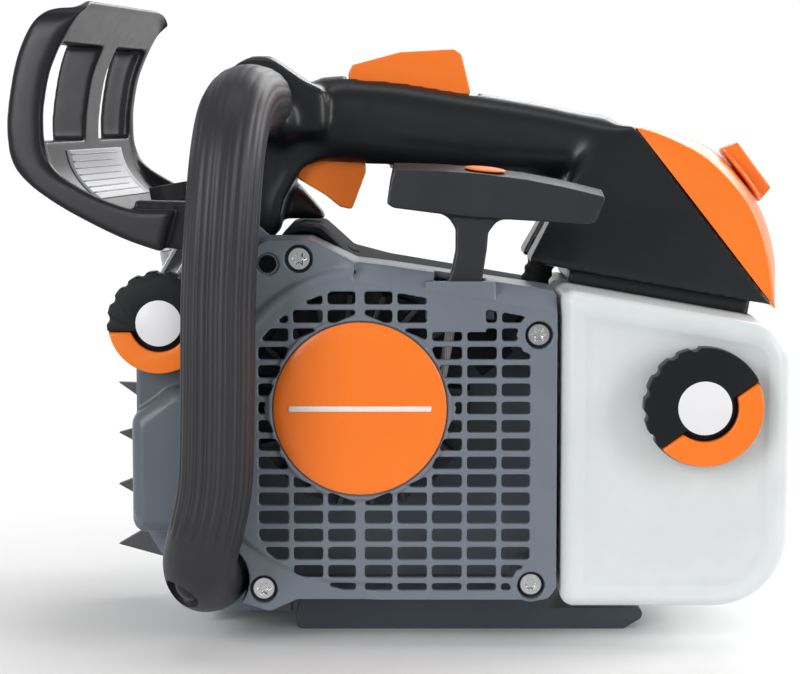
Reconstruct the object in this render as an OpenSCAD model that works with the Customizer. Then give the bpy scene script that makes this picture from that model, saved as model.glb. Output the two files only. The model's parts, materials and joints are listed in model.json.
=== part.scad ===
// Top-handle chainsaw powerhead, about 281 mm long, without its guide bar and chain.
// +X points to the rear, +Y to the clutch side, +Z up. The origin is on the underside of the base plate.

/* [Crank and engine] */
// X of the crankshaft axis
crank_x = -14; // [-14.5:0.5:-13.5]
// Z of the crankshaft axis
crank_z = 85; // [84.5:0.5:85.5]
// Lean of the cylinder towards the front, from vertical
cyl_tilt = 60; // [59:1:61]
// Bore radius of the cylinder
bore_r = 20; // [19.5:0.5:20]
// Half of the piston stroke
crank_throw = 14; // [13:0.5:14]
// Distance between the connecting rod's two eyes
rod_len = 50; // [49:0.5:50]
// Radius of the flywheel
flywheel_r = 39.5; // [38:0.5:39.5]

/* [Fan cover and starter] */
// Y of the fan cover's outer face
cover_face = -72; // [-73:0.5:-72]
// Thickness of the plastic covers
wall = 2.6; // [2:0.2:2.6]
// Radius of the round badge
badge_r = 30.5; // [28:0.5:30.5]
// Pitch of the grille's upright bars
grille_pitch_x = 12.2; // [12:0.1:12.4]
// Pitch of the grille's level bars
grille_pitch_z = 6.45; // [6.4:0.05:6.5]
// Lean of the starter rope towards the rear, from vertical
pull_tilt = 10; // [9.5:0.5:10]
// Radius at which the rope leaves the rotor
rope_wrap_r = 26.7; // [26.5:0.1:26.8]

/* [Handles] */
// Outer radius of the rubber sleeve on the front handle
sleeve_r = 13; // [12:0.5:13]
// Outer radius of the front handle's tube
tube_r = 9; // [8.5:0.5:9]
// Wall of the front handle's tube
tube_wall = 1.6; // [1.2:0.2:2]
// Turn of the hand guard about the upright, so that its left side is further forward
guard_turn = 9; // [8:0.5:10]
// Half of the hand guard's width
guard_half = 62; // [60:1:62]

/* [Tanks] */
// Wall of the fuel tank and the oil tank
tank_wall = 2.8; // [2.4:0.2:3]
// Radius of the fuel cap
fuel_cap_r = 21; // [20:0.5:21]
// Radius of the oil cap
oil_cap_r = 18.5; // [18:0.5:18.5]

/* [Hidden] */
$fn = 48;

case_y = -34;          // flywheel side of the crankcase's left half
fan_back_y = -38;      // plane where the fan cover meets the crankcase
clutch_wall_y = 22;    // clutch side of the crankcase's right half
pad_y = 44;            // face of the guide bar's pad
slot_y = 50;           // inner face of the sprocket cover, past the bar's slot
stud_pos = [-70, 75];
rope_y = -60.75;
rope_exit = [crank_x + (rope_wrap_r + 42 * sin(pull_tilt)) / cos(pull_tilt), rope_y, crank_z + 42];
guard_pivot = [-68, 148];
fuel_cap_pos = [105.6, 86.5];
oil_cap_pos = [-86, 113.6];
fuel_hole_r = 13.4;
oil_hole_r = 11.5;
slope = 10;            // fall of the tank's top towards the rear
plane_mid = [111.15, 0, 150.8];   // middle of the joint between handle housing and filter cover
plane_turn = 52.97;
trigger_pivot = [-33, 176];
interlock_pivot = [-14, 197];
lever_pivot = [-27, 186];
knob_foot = 21.4;

// ---------- helpers ----------
// Extrudes an X-Z outline from y0 to y1.
module plate(y0, y1) translate([0, y1, 0]) rotate([90, 0, 0]) linear_extrude(y1 - y0) children();

// A round bar along Y.
module rod_y(x, z, r, y0, y1) translate([x, y1, z]) rotate([90, 0, 0]) cylinder(r = r, h = y1 - y0);

// A ring along Y.
module ring_y(x, z, ro, ri, y0, y1) difference() {
    rod_y(x, z, ro, y0, y1);
    rod_y(x, z, ri, y0 - 1, y1 + 1);
}

// Rounds an outline's outer corners.
module rounded(r) offset(r = r, $fn = 24) offset(delta = -r) children();

module on_crank() translate([crank_x, 0, crank_z]) children();

// Local Z runs along the cylinder's axis away from the crank, local X to its intake side.
module cyl_frame() on_crank() rotate([0, -cyl_tilt, 0]) children();

// Local Z is the way the starter rope is pulled.
module pull_frame() translate(rope_exit) rotate([0, pull_tilt, 0]) children();

// Local X runs down the tank's sloping top, local Z is its normal.
module rear_frame() translate([56, 0, 129.2]) rotate([0, slope, 0]) children();

// Local Z is the normal of the joint between handle housing and filter cover.
module plane_frame() translate(plane_mid) rotate([0, plane_turn, 0]) children();

function unit(v) = v / norm(v);
function tangent(p, i) = unit(p[min(i + 1, len(p) - 1)] - p[max(i - 1, 0)]);
function ring_pts(p, i, r, ref, sides) = let (t = tangent(p, i), n = unit(cross(ref, t)), b = cross(t, n))
    [for (k = [0:sides - 1]) let (a = 360 * k / sides) p[i] + r * (cos(a) * n + sin(a) * b)];
// Points on a smooth curve through the given ones.
function smooth(p, steps) = [for (i = [0:len(p) - 2]) let (a = p[max(i - 1, 0)], b = p[i], c = p[i + 1],
    d = p[min(i + 2, len(p) - 1)]) for (s = [0:steps - 1]) let (t = s / steps)
    0.5 * (2 * b + (c - a) * t + (2 * a - 5 * b + 4 * c - d) * t * t + (3 * b - a - 3 * c + d) * t * t * t),
    p[len(p) - 1]];

// A solid round tube along a list of points.
module sweep(p, r, sides = 12, ref = [0, 1, 0]) {
    n = len(p);
    pts = [for (i = [0:n - 1]) each ring_pts(p, i, r, ref, sides)];
    walls = [for (i = [0:n - 2]) for (k = [0:sides - 1]) let (a = i * sides + k, b = i * sides + (k + 1) % sides)
        each [[a, b, a + sides], [b, b + sides, a + sides]]];
    ends = [[for (k = [0:sides - 1]) sides - 1 - k], [for (k = [0:sides - 1]) (n - 1) * sides + k]];
    polyhedron(pts, [for (f = concat(walls, ends)) [for (k = [len(f) - 1:-1:0]) f[k]]]);
}

// A hollow round tube along a list of points.
module sweep_hollow(p, ro, ri, sides = 16, ref = [0, 1, 0]) {
    n = len(p);
    m = n * sides;
    outer = [for (i = [0:n - 1]) each ring_pts(p, i, ro, ref, sides)];
    inner = [for (i = [0:n - 1]) each ring_pts(p, i, ri, ref, sides)];
    walls = [for (i = [0:n - 2]) for (k = [0:sides - 1]) let (a = i * sides + k, b = i * sides + (k + 1) % sides)
        each [[a, b, a + sides], [b, b + sides, a + sides], [m + b, m + a, m + a + sides],
        [m + b, m + a + sides, m + b + sides]]];
    e = (n - 1) * sides;
    ends = [for (k = [0:sides - 1]) let (j = (k + 1) % sides) each [[j, k, m + k], [j, m + k, m + j],
        [e + k, e + j, m + e + k], [e + j, m + e + j, m + e + k]]];
    polyhedron(concat(outer, inner), [for (f = concat(walls, ends)) [f[2], f[1], f[0]]]);
}

// ---------- crankcase and crank train ----------
module case_outline() {
    polygon([[-93, 36.7], [-92.3, 34], [-85.6, 22.8], [-74, 5], [-40, 5], [-40, 8.2], [54, 8.2], [54, 66],
        [14, 85], [-14, 75], [-44, 66], [-58.3, 40], [-58.3, 36.7]]);
    translate([crank_x, crank_z]) circle(r = 28.5);
    translate([crank_x, crank_z]) rotate(cyl_tilt) translate([-25, 0]) square([50, 30]);
}

module fan_outline() rounded(2.5) polygon([[-57.2, 16], [-46, 12.5], [-36, 17], [52, 17], [55.2, 21], [55, 126],
    [-3.5, 134.7], [-15.5, 136.2], [-31.6, 144], [-47.5, 144], [-51.5, 140], [-57, 128]]);

// Space for the crank's webs, its bearings and the cylinder's foot.
module crank_space() {
    rod_y(crank_x, crank_z, 25.5, -14, 14);
    rod_y(crank_x, crank_z, 16.02, -24.02, 24.5);
    rod_y(crank_x, crank_z, 8.2, -50, 60);
    cyl_frame() cylinder(r = bore_r + 0.6, h = 40);
}

module crankcase_left() color("slategray") difference() {
    union() {
        plate(case_y, 0) case_outline();
        plate(fan_back_y, case_y) fan_outline();
        // lug of the hand guard's left pivot
        plate(fan_back_y, case_y) rounded(4) polygon([[-56, 124], [-44, 141], [-62, 157], [-75, 154], [-77, 143]]);
        rod_y(guard_pivot[0], guard_pivot[1], 6, -51, case_y);
        rod_y(guard_pivot[0], guard_pivot[1], 3.9, -60, -50.9);
        // foot of the front handle, with the spigot inside its tube
        rod_y(-66, 24, 11, -48, case_y);
        rod_y(-66, 24, 5.8, -57, -47.9);
    }
    crank_space();
    rod_y(24, 114, 4.8, -40, -30);
    // lightening pockets under the crank chamber
    for (x = [-48, -22, 4, 30]) translate([x, -30, 12]) cube([20, 26, 36]);
}

module crankcase_right() color("slategray") difference() {
    union() {
        plate(0, clutch_wall_y) case_outline();
        ring_y(crank_x, crank_z, 36.5, 33.5, 21, pad_y);
        rod_y(crank_x, crank_z, 34, 20, 22);
        // pad of the guide bar
        plate(34.5, pad_y) rounded(5) polygon([[-97, 42], [-97, 100], [-84, 110], [-40, 118], [-42, 52], [-60, 40]]);
        plate(21, 35) polygon([[-62, 44], [-62, 70], [-40, 64], [-40, 44]]);
        // lug of the hand guard's right pivot
        plate(36, pad_y) rounded(4) polygon([[-76, 104], [-44, 112], [-58, 154], [-72, 156], [-78, 146]]);
        rod_y(guard_pivot[0], guard_pivot[1], 6, 40, 47);
        rod_y(guard_pivot[0], guard_pivot[1], 3.9, 46.9, 56);
    }
    crank_space();
    rod_y(crank_x, crank_z, 33.5, 22, 60);
    cyl_frame() translate([-23.9, -24.4, 30.05]) cube([46.8, 48.8, 30]);
    rod_y(stud_pos[0], stud_pos[1], 4, 36, 60);
    // channel of the chain tensioner
    translate([-95.5, 37, 54]) cube([32, 8, 10]);
    translate([-110, 40.5, 59]) rotate([0, 90, 0]) cylinder(r = 2.7, h = 20);
    translate([-64, 40.5, 59]) rotate([0, 90, 0]) cylinder(r = 2.7, h = 3);
    for (x = [-48, -22, 4, 30]) translate([x, 4, 12]) cube([20, 14, 36]);
}

module base_plate() color("dimgray") difference() {
    union() {
        plate(-42, 40) rounded(2.5) polygon([[-38, 0], [82, 0], [95, 8], [56.5, 8], [-38, 8]]);
        plate(-42, -38.2) polygon([[-38, 5], [54, 5], [54, 16.6], [-35, 16.6]]);
    }
    translate([-28, -34, 3]) cube([76, 66, 10]);
}

module main_bearings() color("silver") for (y = [[-24, -14.1], [14.1, 24.4]])
    ring_y(crank_x, crank_z, 16, 7.02, y[0], y[1]);

module crankshaft() color("silver") {
    rod_y(crank_x, crank_z, 7, -53, -12.4);
    rod_y(crank_x, crank_z, 7, 12.4, 27);
    // worm of the oil pump
    rod_y(crank_x, crank_z, 10, 24.8, 27);
    rod_y(crank_x, crank_z, 6, 26.9, 54);
    for (y = [-12.5, 6.2]) rod_y(crank_x, crank_z, 23.5, y, y + 6.3);
}

module connecting_rod() color("gray") cyl_frame() {
    // crank pin, held by the rod
    translate([0, 5.8, -crank_throw]) rotate([90, 0, 0]) cylinder(r = 5.5, h = 11.6);
    difference() {
        union() {
            translate([0, 4, -crank_throw]) rotate([90, 0, 0]) cylinder(r = 10, h = 8);
            translate([0, 4, rod_len - crank_throw]) rotate([90, 0, 0]) cylinder(r = 7, h = 8);
            translate([-4, -2.5, -crank_throw]) cube([8, 5, rod_len]);
        }
        translate([0, 9, -crank_throw]) rotate([90, 0, 0]) cylinder(r = 5.52, h = 18);
        translate([0, 9, rod_len - crank_throw]) rotate([90, 0, 0]) cylinder(r = 4.52, h = 18);
    }
}

module piston() color("silver") cyl_frame() translate([0, 0, rod_len - crank_throw]) {
    difference() {
        translate([0, 0, -11]) cylinder(r = bore_r - 0.06, h = 24);
        translate([0, 0, -12]) cylinder(r = bore_r - 3, h = 20);
        rotate([90, 0, 0]) cylinder(r = 4.5, h = 60, center = true);
        for (z = [7.5, 10.3]) translate([0, 0, z]) difference() {
            cylinder(r = bore_r + 2, h = 1.2);
            translate([0, 0, -1]) cylinder(r = bore_r - 1.8, h = 4);
        }
    }
    // gudgeon pin
    rotate([90, 0, 0]) cylinder(r = 4.48, h = 36, center = true);
    // rings
    for (z = [7.55, 10.35]) translate([0, 0, z]) difference() {
        cylinder(r = bore_r - 0.04, h = 1.1);
        translate([0, 0, -1]) cylinder(r = bore_r - 1.7, h = 4);
    }
}

module cylinder_block() {
    translate([0, 0, 30.1]) cylinder(r = 23, h = 56);
    translate([-23.5, -24, 30.1]) cube([46, 48, 4]);
    for (i = [0:8]) translate([-24, -26, 42 + 5.4 * i]) cube([46, 52, 1.7]);
    translate([0, 0, 44]) rotate([0, 90, 0]) cylinder(r = 9, h = 24);
    translate([-29, 0, 54]) rotate([0, 90, 0]) cylinder(r = 9, h = 20);
}

module plug_frame() cyl_frame() translate([6, 0, 82]) rotate([0, 50, 0]) children();

module cylinder_node() color("lightgray") difference() {
    union() {
        cyl_frame() cylinder_block();
        plug_frame() translate([0, 0, -2]) cylinder(r = 8, h = 8);
    }
    cyl_frame() {
        translate([0, 0, 30]) cylinder(r = bore_r, h = 49.5);
        translate([15, 0, 44]) rotate([0, 90, 0]) cylinder(r = 7, h = 20);
        translate([-40, 0, 54]) rotate([0, 90, 0]) cylinder(r = 7, h = 25);
    }
    plug_frame() translate([0, 0, -10]) cylinder(r = 5.02, h = 30);
    plug_frame() translate([0, 0, 6.05]) cylinder(r = 8.8, h = 30);
}

// Thin deck over the engine, with a hump over the intake.
module cylinder_shroud() color("dimgray") difference() {
    plate(-33.6, 43.6) polygon([[-44.5, 142], [-41.5, 146], [-36, 147.2], [-29, 146.4], [-24, 142], [-18, 136.5],
        [-4, 132.8], [44, 124.7], [53.5, 123.2], [53.5, 121], [44, 122.5], [-4, 130.6], [-19.4, 134.4],
        [-25.6, 140.2], [-29.8, 144.3], [-36, 145], [-40.2, 144], [-42.6, 141]]);
    translate([33.4, -11, 110]) cube([32.6, 22, 40]);
    // room for the boot under the hump
    translate([-22, 0, 128.6]) rotate([0, 119, 0]) cylinder(r = 9.2, h = 32, center = true);
}

module spark_plug() color("whitesmoke") plug_frame() {
    translate([0, 0, -1]) cylinder(r = 5, h = 8);
    translate([0, 0, 6.1]) cylinder(r = 8, h = 5, $fn = 6);
    translate([0, 0, 11]) cylinder(r = 4.4, h = 13);
}

// Lead with its rubber boot on the plug.
lead_path = smooth([[-81, -5, 154], [-72, -16, 153], [-60, -26, 147.6], [-47, -30.6, 138], [-30, -30.6, 131],
    [-10, -30.6, 124.5], [10, -30.6, 119], [19, -30.8, 115.8], [23.4, -33, 114.4], [24.4, -38, 114], [24.4, -41.4, 114]], 2);
module ignition_lead() color("black") {
    sweep(lead_path, 2.5, 8, [0, 0, 1]);
    difference() {
        plug_frame() translate([0, 0, 12.5]) cylinder(r = 7.6, h = 18);
        plug_frame() translate([0, 0, 12]) cylinder(r = 4.5, h = 12.2);
    }
}

module ignition_module() color("gray") difference() {
    on_crank() rotate([0, -38, 0]) translate([flywheel_r + 0.5, -57, -19]) cube([14, 15.5, 38]);
    rod_y(crank_x, crank_z, flywheel_r + 1, -70, -30);
    rod_y(48.7, 110.8, 8.5, -70, -30);
    translate([-20, -60, 124.4]) rotate([0, 8.2, 0]) cube([90, 30, 30]);
}

module flywheel() color("silver") {
    difference() {
        union() {
            rod_y(crank_x, crank_z, flywheel_r, -44, -40.5);
            rod_y(crank_x, crank_z, 13, -52, -40.5);
            on_crank() for (a = [0:18:342]) rotate([0, a, 0]) translate([19, -55.5, 0]) rotate([0, 24, 0])
                translate([0, 0, -0.9]) cube([21, 13, 1.8]);
        }
        rod_y(crank_x, crank_z, 7.02, -60, -30);
    }
}

// ---------- exhaust and intake ----------
module muffler() color("darkslategray") difference() {
    plate(-10, 27) rounded(2) polygon([[-63.8, 79.4], [-93.5, 96.6], [-97, 94], [-97, 56], [-93, 51.5], [-68, 51.5],
        [-64, 55]]);
    plate(-8.6, 25.6) rounded(2) polygon([[-65.4, 78.4], [-93.2, 94.6], [-95.6, 92.5], [-95.6, 57], [-92, 53],
        [-69, 53], [-65.4, 56]]);
    cyl_frame() translate([-40, 0, 54]) rotate([0, 90, 0]) cylinder(r = 7, h = 25);
    translate([-100, 14, 62]) rotate([0, 90, 0]) cylinder(r = 4, h = 10);
}

boot_path = smooth([[-39.9, 0, 128.1], [-37, 0, 131.6], [-31.5, 0, 133.4], [-23, 0, 129.5], [-13, 0, 123.8],
    [0, 0, 119], [16, 0, 115], [29, 0, 113.6], [38, 0, 115.6], [44.4, 0, 121.4], [49.4, 0, 129.4], [54.6, 0, 138.6],
    [57.6, 0, 144.6], [60.4, 0, 147.8], [62.8, 0, 148.5]], 2);
module intake_boot() color("gray") sweep_hollow(boot_path, 7.6, 6.2, 16);

module carburetor() color("silver") difference() {
    union() {
        translate([66.2, -14, 138]) cube([15, 28, 22]);
        translate([63.3, 0, 148.5]) rotate([0, 90, 0]) cylinder(r = 9, h = 20);
        translate([73, 17, 150]) rotate([90, 0, 0]) cylinder(r = 3, h = 34);
    }
    translate([60, 0, 148.5]) rotate([0, 90, 0]) cylinder(r = 6.5, h = 40);
    translate([62.85, 0, 148.5]) rotate([0, -16.5, 0]) translate([-6, -10, -12]) cube([6, 20, 24]);
}

module air_filter() color("white") plane_frame() {
    translate([0, 0, 0.5]) linear_extrude(3) polygon([[-27, -12], [-27, 12], [27, 24], [27, -24]]);
    translate([0, 0, 3.4]) linear_extrude(6) polygon([[-21, -10], [-21, 10], [24, 20], [24, -20]]);
}

// ---------- fan cover and starter ----------
module cover_chamfer(depth) translate([-15.5, cover_face, 136.2]) rotate([0, 8.3, 0]) rotate([90, 0, 90])
    linear_extrude(80) polygon([[-1, -depth - 1], [depth + 1, 1], [-1, 1]]);

grille_x0 = crank_x - 3 * grille_pitch_x;
grille_z0 = 23;
module grille_openings() offset(r = 0.35, $fn = 8) offset(delta = -0.35) difference() {
    intersection() {
        polygon([[-51.6, 44], [-47, 34], [-38, 26.5], [-26, 22], [-20, 20.4], [45.6, 20.4], [45.6, 117], [0, 125.5],
            [-10, 127.6], [-23, 126.4], [-34, 122.4], [-43, 115.8], [-51.6, 106]]);
        translate([-60, grille_z0 - 4.3 - grille_pitch_z]) square([120, 150]);
    }
    for (i = [0:7]) let (w = i == 3 ? 3.2 : 1.8) translate([grille_x0 + i * grille_pitch_x - w / 2, 0]) square([w, 150]);
    for (k = [-1:17]) translate([-60, grille_z0 + k * grille_pitch_z - 1.05 + 0.9]) square([120, 2.1]);
    translate([crank_x, crank_z]) circle(r = badge_r + 3.3);
    translate([48.7, 110.8]) circle(r = 8);
    translate([46.3, 22]) circle(r = 7.5);
    translate([20, 122]) square([20, 20], center = true);
}

module fan_cover() color("slategray") difference() {
    union() {
        difference() {
            plate(cover_face, fan_back_y) fan_outline();
            cover_chamfer(7);
            difference() {
                plate(cover_face + wall, fan_back_y + 1) offset(delta = -wall) fan_outline();
                cover_chamfer(7 + wall * 1.42);
            }
        }
        // ring round the badge, and the starter's hub
        ring_y(crank_x, crank_z, badge_r + 1.9, badge_r + 0.5, cover_face - 1, cover_face + 1);
        rod_y(crank_x, crank_z, 6, cover_face + 1, -56.9);
        // screw posts
        for (p = [[48.7, 110.8, 6.6], [46.3, 22, 6], [-48.2, 20.5, 6], [-35.4, 137.5, 5.6]])
            rod_y(p[0], p[1], p[2], cover_face + 0.5, fan_back_y);
        // seat of the starter grip
        translate([9, cover_face + 1, 116]) cube([24, 13.6, 13.6]);
    }
    plate(cover_face - 2, cover_face + 4) grille_openings();
    rod_y(crank_x, crank_z, badge_r + 0.4, cover_face - 2, cover_face + 0.5);
    for (p = [[48.7, 110.8], [46.3, 22], [-48.2, 20.5], [-35.4, 137.5]]) {
        rod_y(p[0], p[1], 4.9, cover_face - 1, cover_face + 6);
        rod_y(p[0], p[1], 2.6, cover_face - 1, fan_back_y + 1);
    }
    rod_y(-46.3, 135.7, 4, cover_face - 1, cover_face + 1.5);
    rod_y(-46.3, 135.7, 3.1, cover_face - 1, cover_face + 12);
    // notch round the foot of the front handle
    rod_y(-67, 24, 13.7, -80, -30);
    pull_frame() translate([-9, -6.7, -2.4]) cube([18, 13.4, 20]);
    pull_frame() translate([0, 0, -20]) cylinder(r = 2.6, h = 40);
}

module cover_badge() color("darkorange") rod_y(crank_x, crank_z, badge_r, cover_face - 0.7, cover_face + 0.5);

// One pan-head screw with a star socket, driven in along +Y.
module screw(x, z, y) {
    difference() {
        rod_y(x, z, 3.9, y, y + 3);
        translate([x, y + 1, z]) rotate([90, 0, 0]) for (a = [0, 60]) rotate(a) cylinder(r = 2.3, h = 6, $fn = 3);
    }
    rod_y(x, z, 2.5, y + 2.9, fan_back_y - 0.1);
}
module cover_screws() color("silver") for (p = [[48.7, 110.8], [46.3, 22], [-48.2, 20.5], [-35.4, 137.5]])
    screw(p[0], p[1], cover_face + 2.9);

module rope_rotor() color("black") difference() {
    union() {
        rod_y(crank_x, crank_z, 21, -64, -57.5);
        for (y = [-64, -58.5]) rod_y(crank_x, crank_z, 29, y, y + 1);
    }
    rod_y(crank_x, crank_z, 6.06, -70, -50);
}

module rope_coil() color("white") translate([crank_x, rope_exit[1], crank_z]) rotate([90, 0, 0])
    rotate_extrude() translate([22.9, 0]) circle(r = 1.7);

spiral_pts = 84;
function spiral(r0, r1, turns, off) = [for (i = [0:spiral_pts]) let (f = i / spiral_pts, r = r0 + (r1 - r0) * f + off)
    [r * cos(360 * turns * f), r * sin(360 * turns * f)]];
module recoil_spring() color("silver") translate([crank_x, -64.6, crank_z]) rotate([90, 0, 0]) linear_extrude(4.2) {
    inside = spiral(8, 26, 6, 0);
    outside = spiral(8, 26, 6, 0.7);
    polygon(concat(inside, [for (i = [spiral_pts:-1:0]) outside[i]]));
}

module starter_rope() color("white") pull_frame() translate([0, 0, -46]) cylinder(r = 1.7, h = 66);

// T-shaped grip, its bar a little longer towards the rear.
module starter_grip() color("#2b2b2e") pull_frame() difference() {
    union() {
        hull() for (s = [[-1.9, 7, 6], [20, 5.6, 5.4]]) translate([0, 0, s[0]]) scale([s[1] / 6, s[2] / 6, 1])
            cylinder(r = 6, h = 2, $fn = 32);
        hull() {
            translate([0, 0, 20]) scale([1, 0.9, 1]) cylinder(r = 6, h = 1, $fn = 32);
            translate([3, 0, 28]) cube([26, 15, 2], center = true);
        }
        hull() for (s = [[-27.5, 38.6, 8.2], [4, 38.6, 9], [40, 35, 7.6]]) for (y = [-1, 1]) for (z = [-1, 1])
            translate([s[0], y * (s[2] - 2), s[1] + z * (s[2] - 2.2)]) sphere(r = 2, $fn = 16);
    }
    translate([0, 0, -5]) cylinder(r = 1.72, h = 26);
    translate([9, 0, 45.5]) scale([7.2, 4.6, 1]) cylinder(r = 1, h = 6, $fn = 32);
}
module starter_grip_insert() color("darkorange") pull_frame() translate([9, 0, 45.6]) scale([7.1, 4.5, 1])
    cylinder(r = 1, h = 1.8, $fn = 32);

// ---------- clutch side ----------
module clutch() color("gray") {
    ring_y(crank_x, crank_z, 10, 6.02, 29, 38);
    for (a = [0, 120, 240]) difference() {
        ring_y(crank_x, crank_z, 26.2, 11, 29.5, 37.5);
        on_crank() rotate([0, a, 0]) translate([-40, 20, 0]) cube([80, 30, 50]);
        on_crank() rotate([0, a - 116, 0]) translate([-40, 20, -50]) cube([80, 30, 50]);
    }
}

module sprocket_shape() difference() {
    circle(r = 13);
    for (a = [0:60:300]) rotate(a) translate([13.6, 0]) circle(r = 4.4);
}
module clutch_drum() color("silver") difference() {
    union() {
        rod_y(crank_x, crank_z, 30, 28.2, 42);
        translate([crank_x, 51, crank_z]) rotate([90, 0, 0]) linear_extrude(9.1) sprocket_shape();
    }
    rod_y(crank_x, crank_z, 27.2, 28, 40);
    rod_y(crank_x, crank_z, 6.06, 20, 60);
}

module brake_band() color("silver") difference() {
    union() {
        ring_y(crank_x, crank_z, 31.5, 30.6, 31, 40);
        translate([crank_x + 28, 31, crank_z - 1]) cube([3.8, 9, 9]);
    }
    on_crank() translate([20, 25, 8.2]) cube([20, 20, 8]);
    rod_y(crank_x, crank_z, 30.6, 30, 41);
}

// Bell crank that the hand guard trips, behind the sprocket cover.
module brake_lever() color("gray") plate(46, 48.5) difference() {
    union() {
        translate([-36, 108]) circle(r = 5);
        polygon([[-40, 111], [-33, 112], [-28, 120], [-32, 122]]);
        polygon([[-40, 105], [-34, 103.5], [-22, 106], [-23, 110], [-34, 112]]);
    }
    translate([-36, 108]) circle(r = 2.05);
}

module oil_pump() color("gray") difference() {
    translate([-36, 22.1, 61]) cube([16, 4.6, 15]);
    rod_y(crank_x, crank_z, 16.3, 20, 30);
}

module oil_pickup() color("black") {
    sweep(smooth([[-66, -21, 50], [-70, -24, 46.5], [-77, -30, 44.5], [-82, -36, 45]], 3), 2.2, 8, [0, 0, 1]);
    translate([-84, -39, 45.6]) sphere(r = 4.6);
}

module side_plate() color("silver") difference() {
    plate(pad_y, pad_y + 1) rounded(4) polygon([[-96, 44], [-96, 99], [-84, 108], [-53, 108], [-53, 44]]);
    rod_y(stud_pos[0], stud_pos[1], 4.2, 40, 50);
    translate([-86, 40, 56]) cube([20, 10, 6]);
    rod_y(crank_x, crank_z, 37, 40, 50);
}

module tensioner_screw() color("silver") translate([0, 40.5, 59]) rotate([0, 90, 0]) {
    translate([0, 0, -95.3]) cylinder(r = 2.4, h = 33);
    difference() {
        translate([0, 0, -99.5]) cylinder(r = 4, h = 2.4);
        translate([-5, -0.6, -100]) cube([10, 1.2, 1.6]);
    }
    translate([0, 0, -97.2]) cylinder(r = 2.4, h = 3);
}
module tensioner_pin() color("silver") {
    difference() {
        translate([-84, 37.3, 55]) cube([8, 6.4, 8]);
        translate([-90, 40.5, 59]) rotate([0, 90, 0]) cylinder(r = 2.46, h = 20);
    }
    rod_y(-80, 59, 2.5, 43.6, 49.4);
}

module bar_stud() color("silver") rod_y(stud_pos[0], stud_pos[1], 4, 36, 71);
module bar_nut() color("silver") difference() {
    union() {
        rod_y(stud_pos[0], stud_pos[1], 10.5, 60.1, 62);
        translate([stud_pos[0], 69, stud_pos[1]]) rotate([90, 0, 0]) cylinder(r = 10.4, h = 8, $fn = 6);
    }
    rod_y(stud_pos[0], stud_pos[1], 4.02, 50, 75);
}

module drive_outline() rounded(7) polygon([[-99, 50], [-88, 42], [-30, 42], [4, 47], [26, 66], [28, 104], [12, 122],
    [-20, 127], [-64, 119], [-99, 104]]);
module sprocket_cover() color("slategray") difference() {
    union() {
        difference() {
            plate(44.3, 76) drive_outline();
            plate(40, 76 - wall) offset(delta = -wall) drive_outline();
        }
        rod_y(stud_pos[0], stud_pos[1], 16, 57, 76);
        rod_y(stud_pos[0], stud_pos[1], 9, slot_y, 58);
        // pin of the brake's lever
        rod_y(-36, 108, 4.5, 49, 75);
        rod_y(-36, 108, 2, 45.6, 49.1);
        // inner wall that presses on the guide bar
        plate(slot_y, slot_y + 2) rounded(3) polygon([[-96.8, 52], [-96.8, 98], [-64, 98], [-50, 92], [-50, 56],
            [-88, 48]]);
        plate(slot_y + 1.9, 75) polygon([[-60, 42.5], [-57, 42.5], [-57, 66], [-60, 66]]);
    }
    rod_y(stud_pos[0], stud_pos[1], 13, 60, 80);
    rod_y(stud_pos[0], stud_pos[1], 4.3, 40, 80);
    // slot of the guide bar, open to the front
    translate([-110, 40, 30]) cube([58, slot_y - 40, 80]);
    // chip outlet
    translate([-48, 40, 38]) cube([36, 30, 8]);
    translate([-90, 40, 56]) cube([26, 12.5, 6]);
}

module bumper_spike() color("silver") plate(31.4, 34.4) difference() {
    polygon([[-90, 12], [-84, 14], [-84, 88], [-96, 92], [-98, 88], [-97, 82], [-110.9, 82.5], [-99, 74], [-98.5, 66],
        [-111, 62.5], [-99, 56], [-98.5, 47], [-111.3, 42], [-99, 35], [-98, 26], [-111.5, 18]]);
    translate([-90, 80]) circle(r = 2.2);
    translate([-90, 48]) circle(r = 2.2);
}

// ---------- tanks and caps ----------
module oil_box(d, y0, y1) plate(y0, y1) offset(delta = -d) rounded(5) polygon([[-96.6, 37], [-96.6, 77], [-84, 89],
    [-74, 89], [-59, 79], [-59, 37]]);
module oil_neck(d, y0, y1) plate(y0, y1) offset(delta = -d) rounded(3) union() {
    translate(oil_cap_pos) circle(r = 16.5);
    polygon([[-95.5, 70], [-95.5, 105], [-80, 122], [-62, 118], [-62, 70]]);
}
module oil_tank() color("slategray") difference() {
    union() {
        oil_box(0, -48, -14.5);
        hull() {
            oil_box(0, -48.5, -48);
            oil_box(4, -54, -53.5);
        }
        oil_neck(0, -44, -28.3);
        rod_y(oil_cap_pos[0], oil_cap_pos[1], 13.6, -47, -43);
    }
    oil_box(tank_wall, -50.5, -17.5);
    oil_neck(tank_wall, -41.2, -31);
    rod_y(oil_cap_pos[0], oil_cap_pos[1], oil_hole_r, -50, -36);
}

// Turn-and-lift cap at the origin, its face towards -Y: a body with finger notches round a fixed middle disc.
module cap_body(r, hole_r) difference() {
    union() {
        difference() {
            rod_y(0, 0, r, 0, 8);
            for (a = [100:22:210]) rotate([0, -a, 0]) translate([r + 1.2, 4, 0]) rotate([90, 0, 0])
                cylinder(r = 2.2, h = 20, center = true);
            // bed of the bail
            difference() {
                rotate([0, -35, 0]) translate([-r - 1, -1, -r - 1]) cube([2 * r + 2, 4.4, r - 1.8]);
                rod_y(0, 0, r * 0.47, -2, 9);
            }
        }
        rod_y(0, 0, hole_r - 0.06, 7.9, 10.3);
        rod_y(0, 0, hole_r - 1.6, 10.2, 16);
    }
    rod_y(0, 0, r * 0.42, -1, 1);
}
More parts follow.
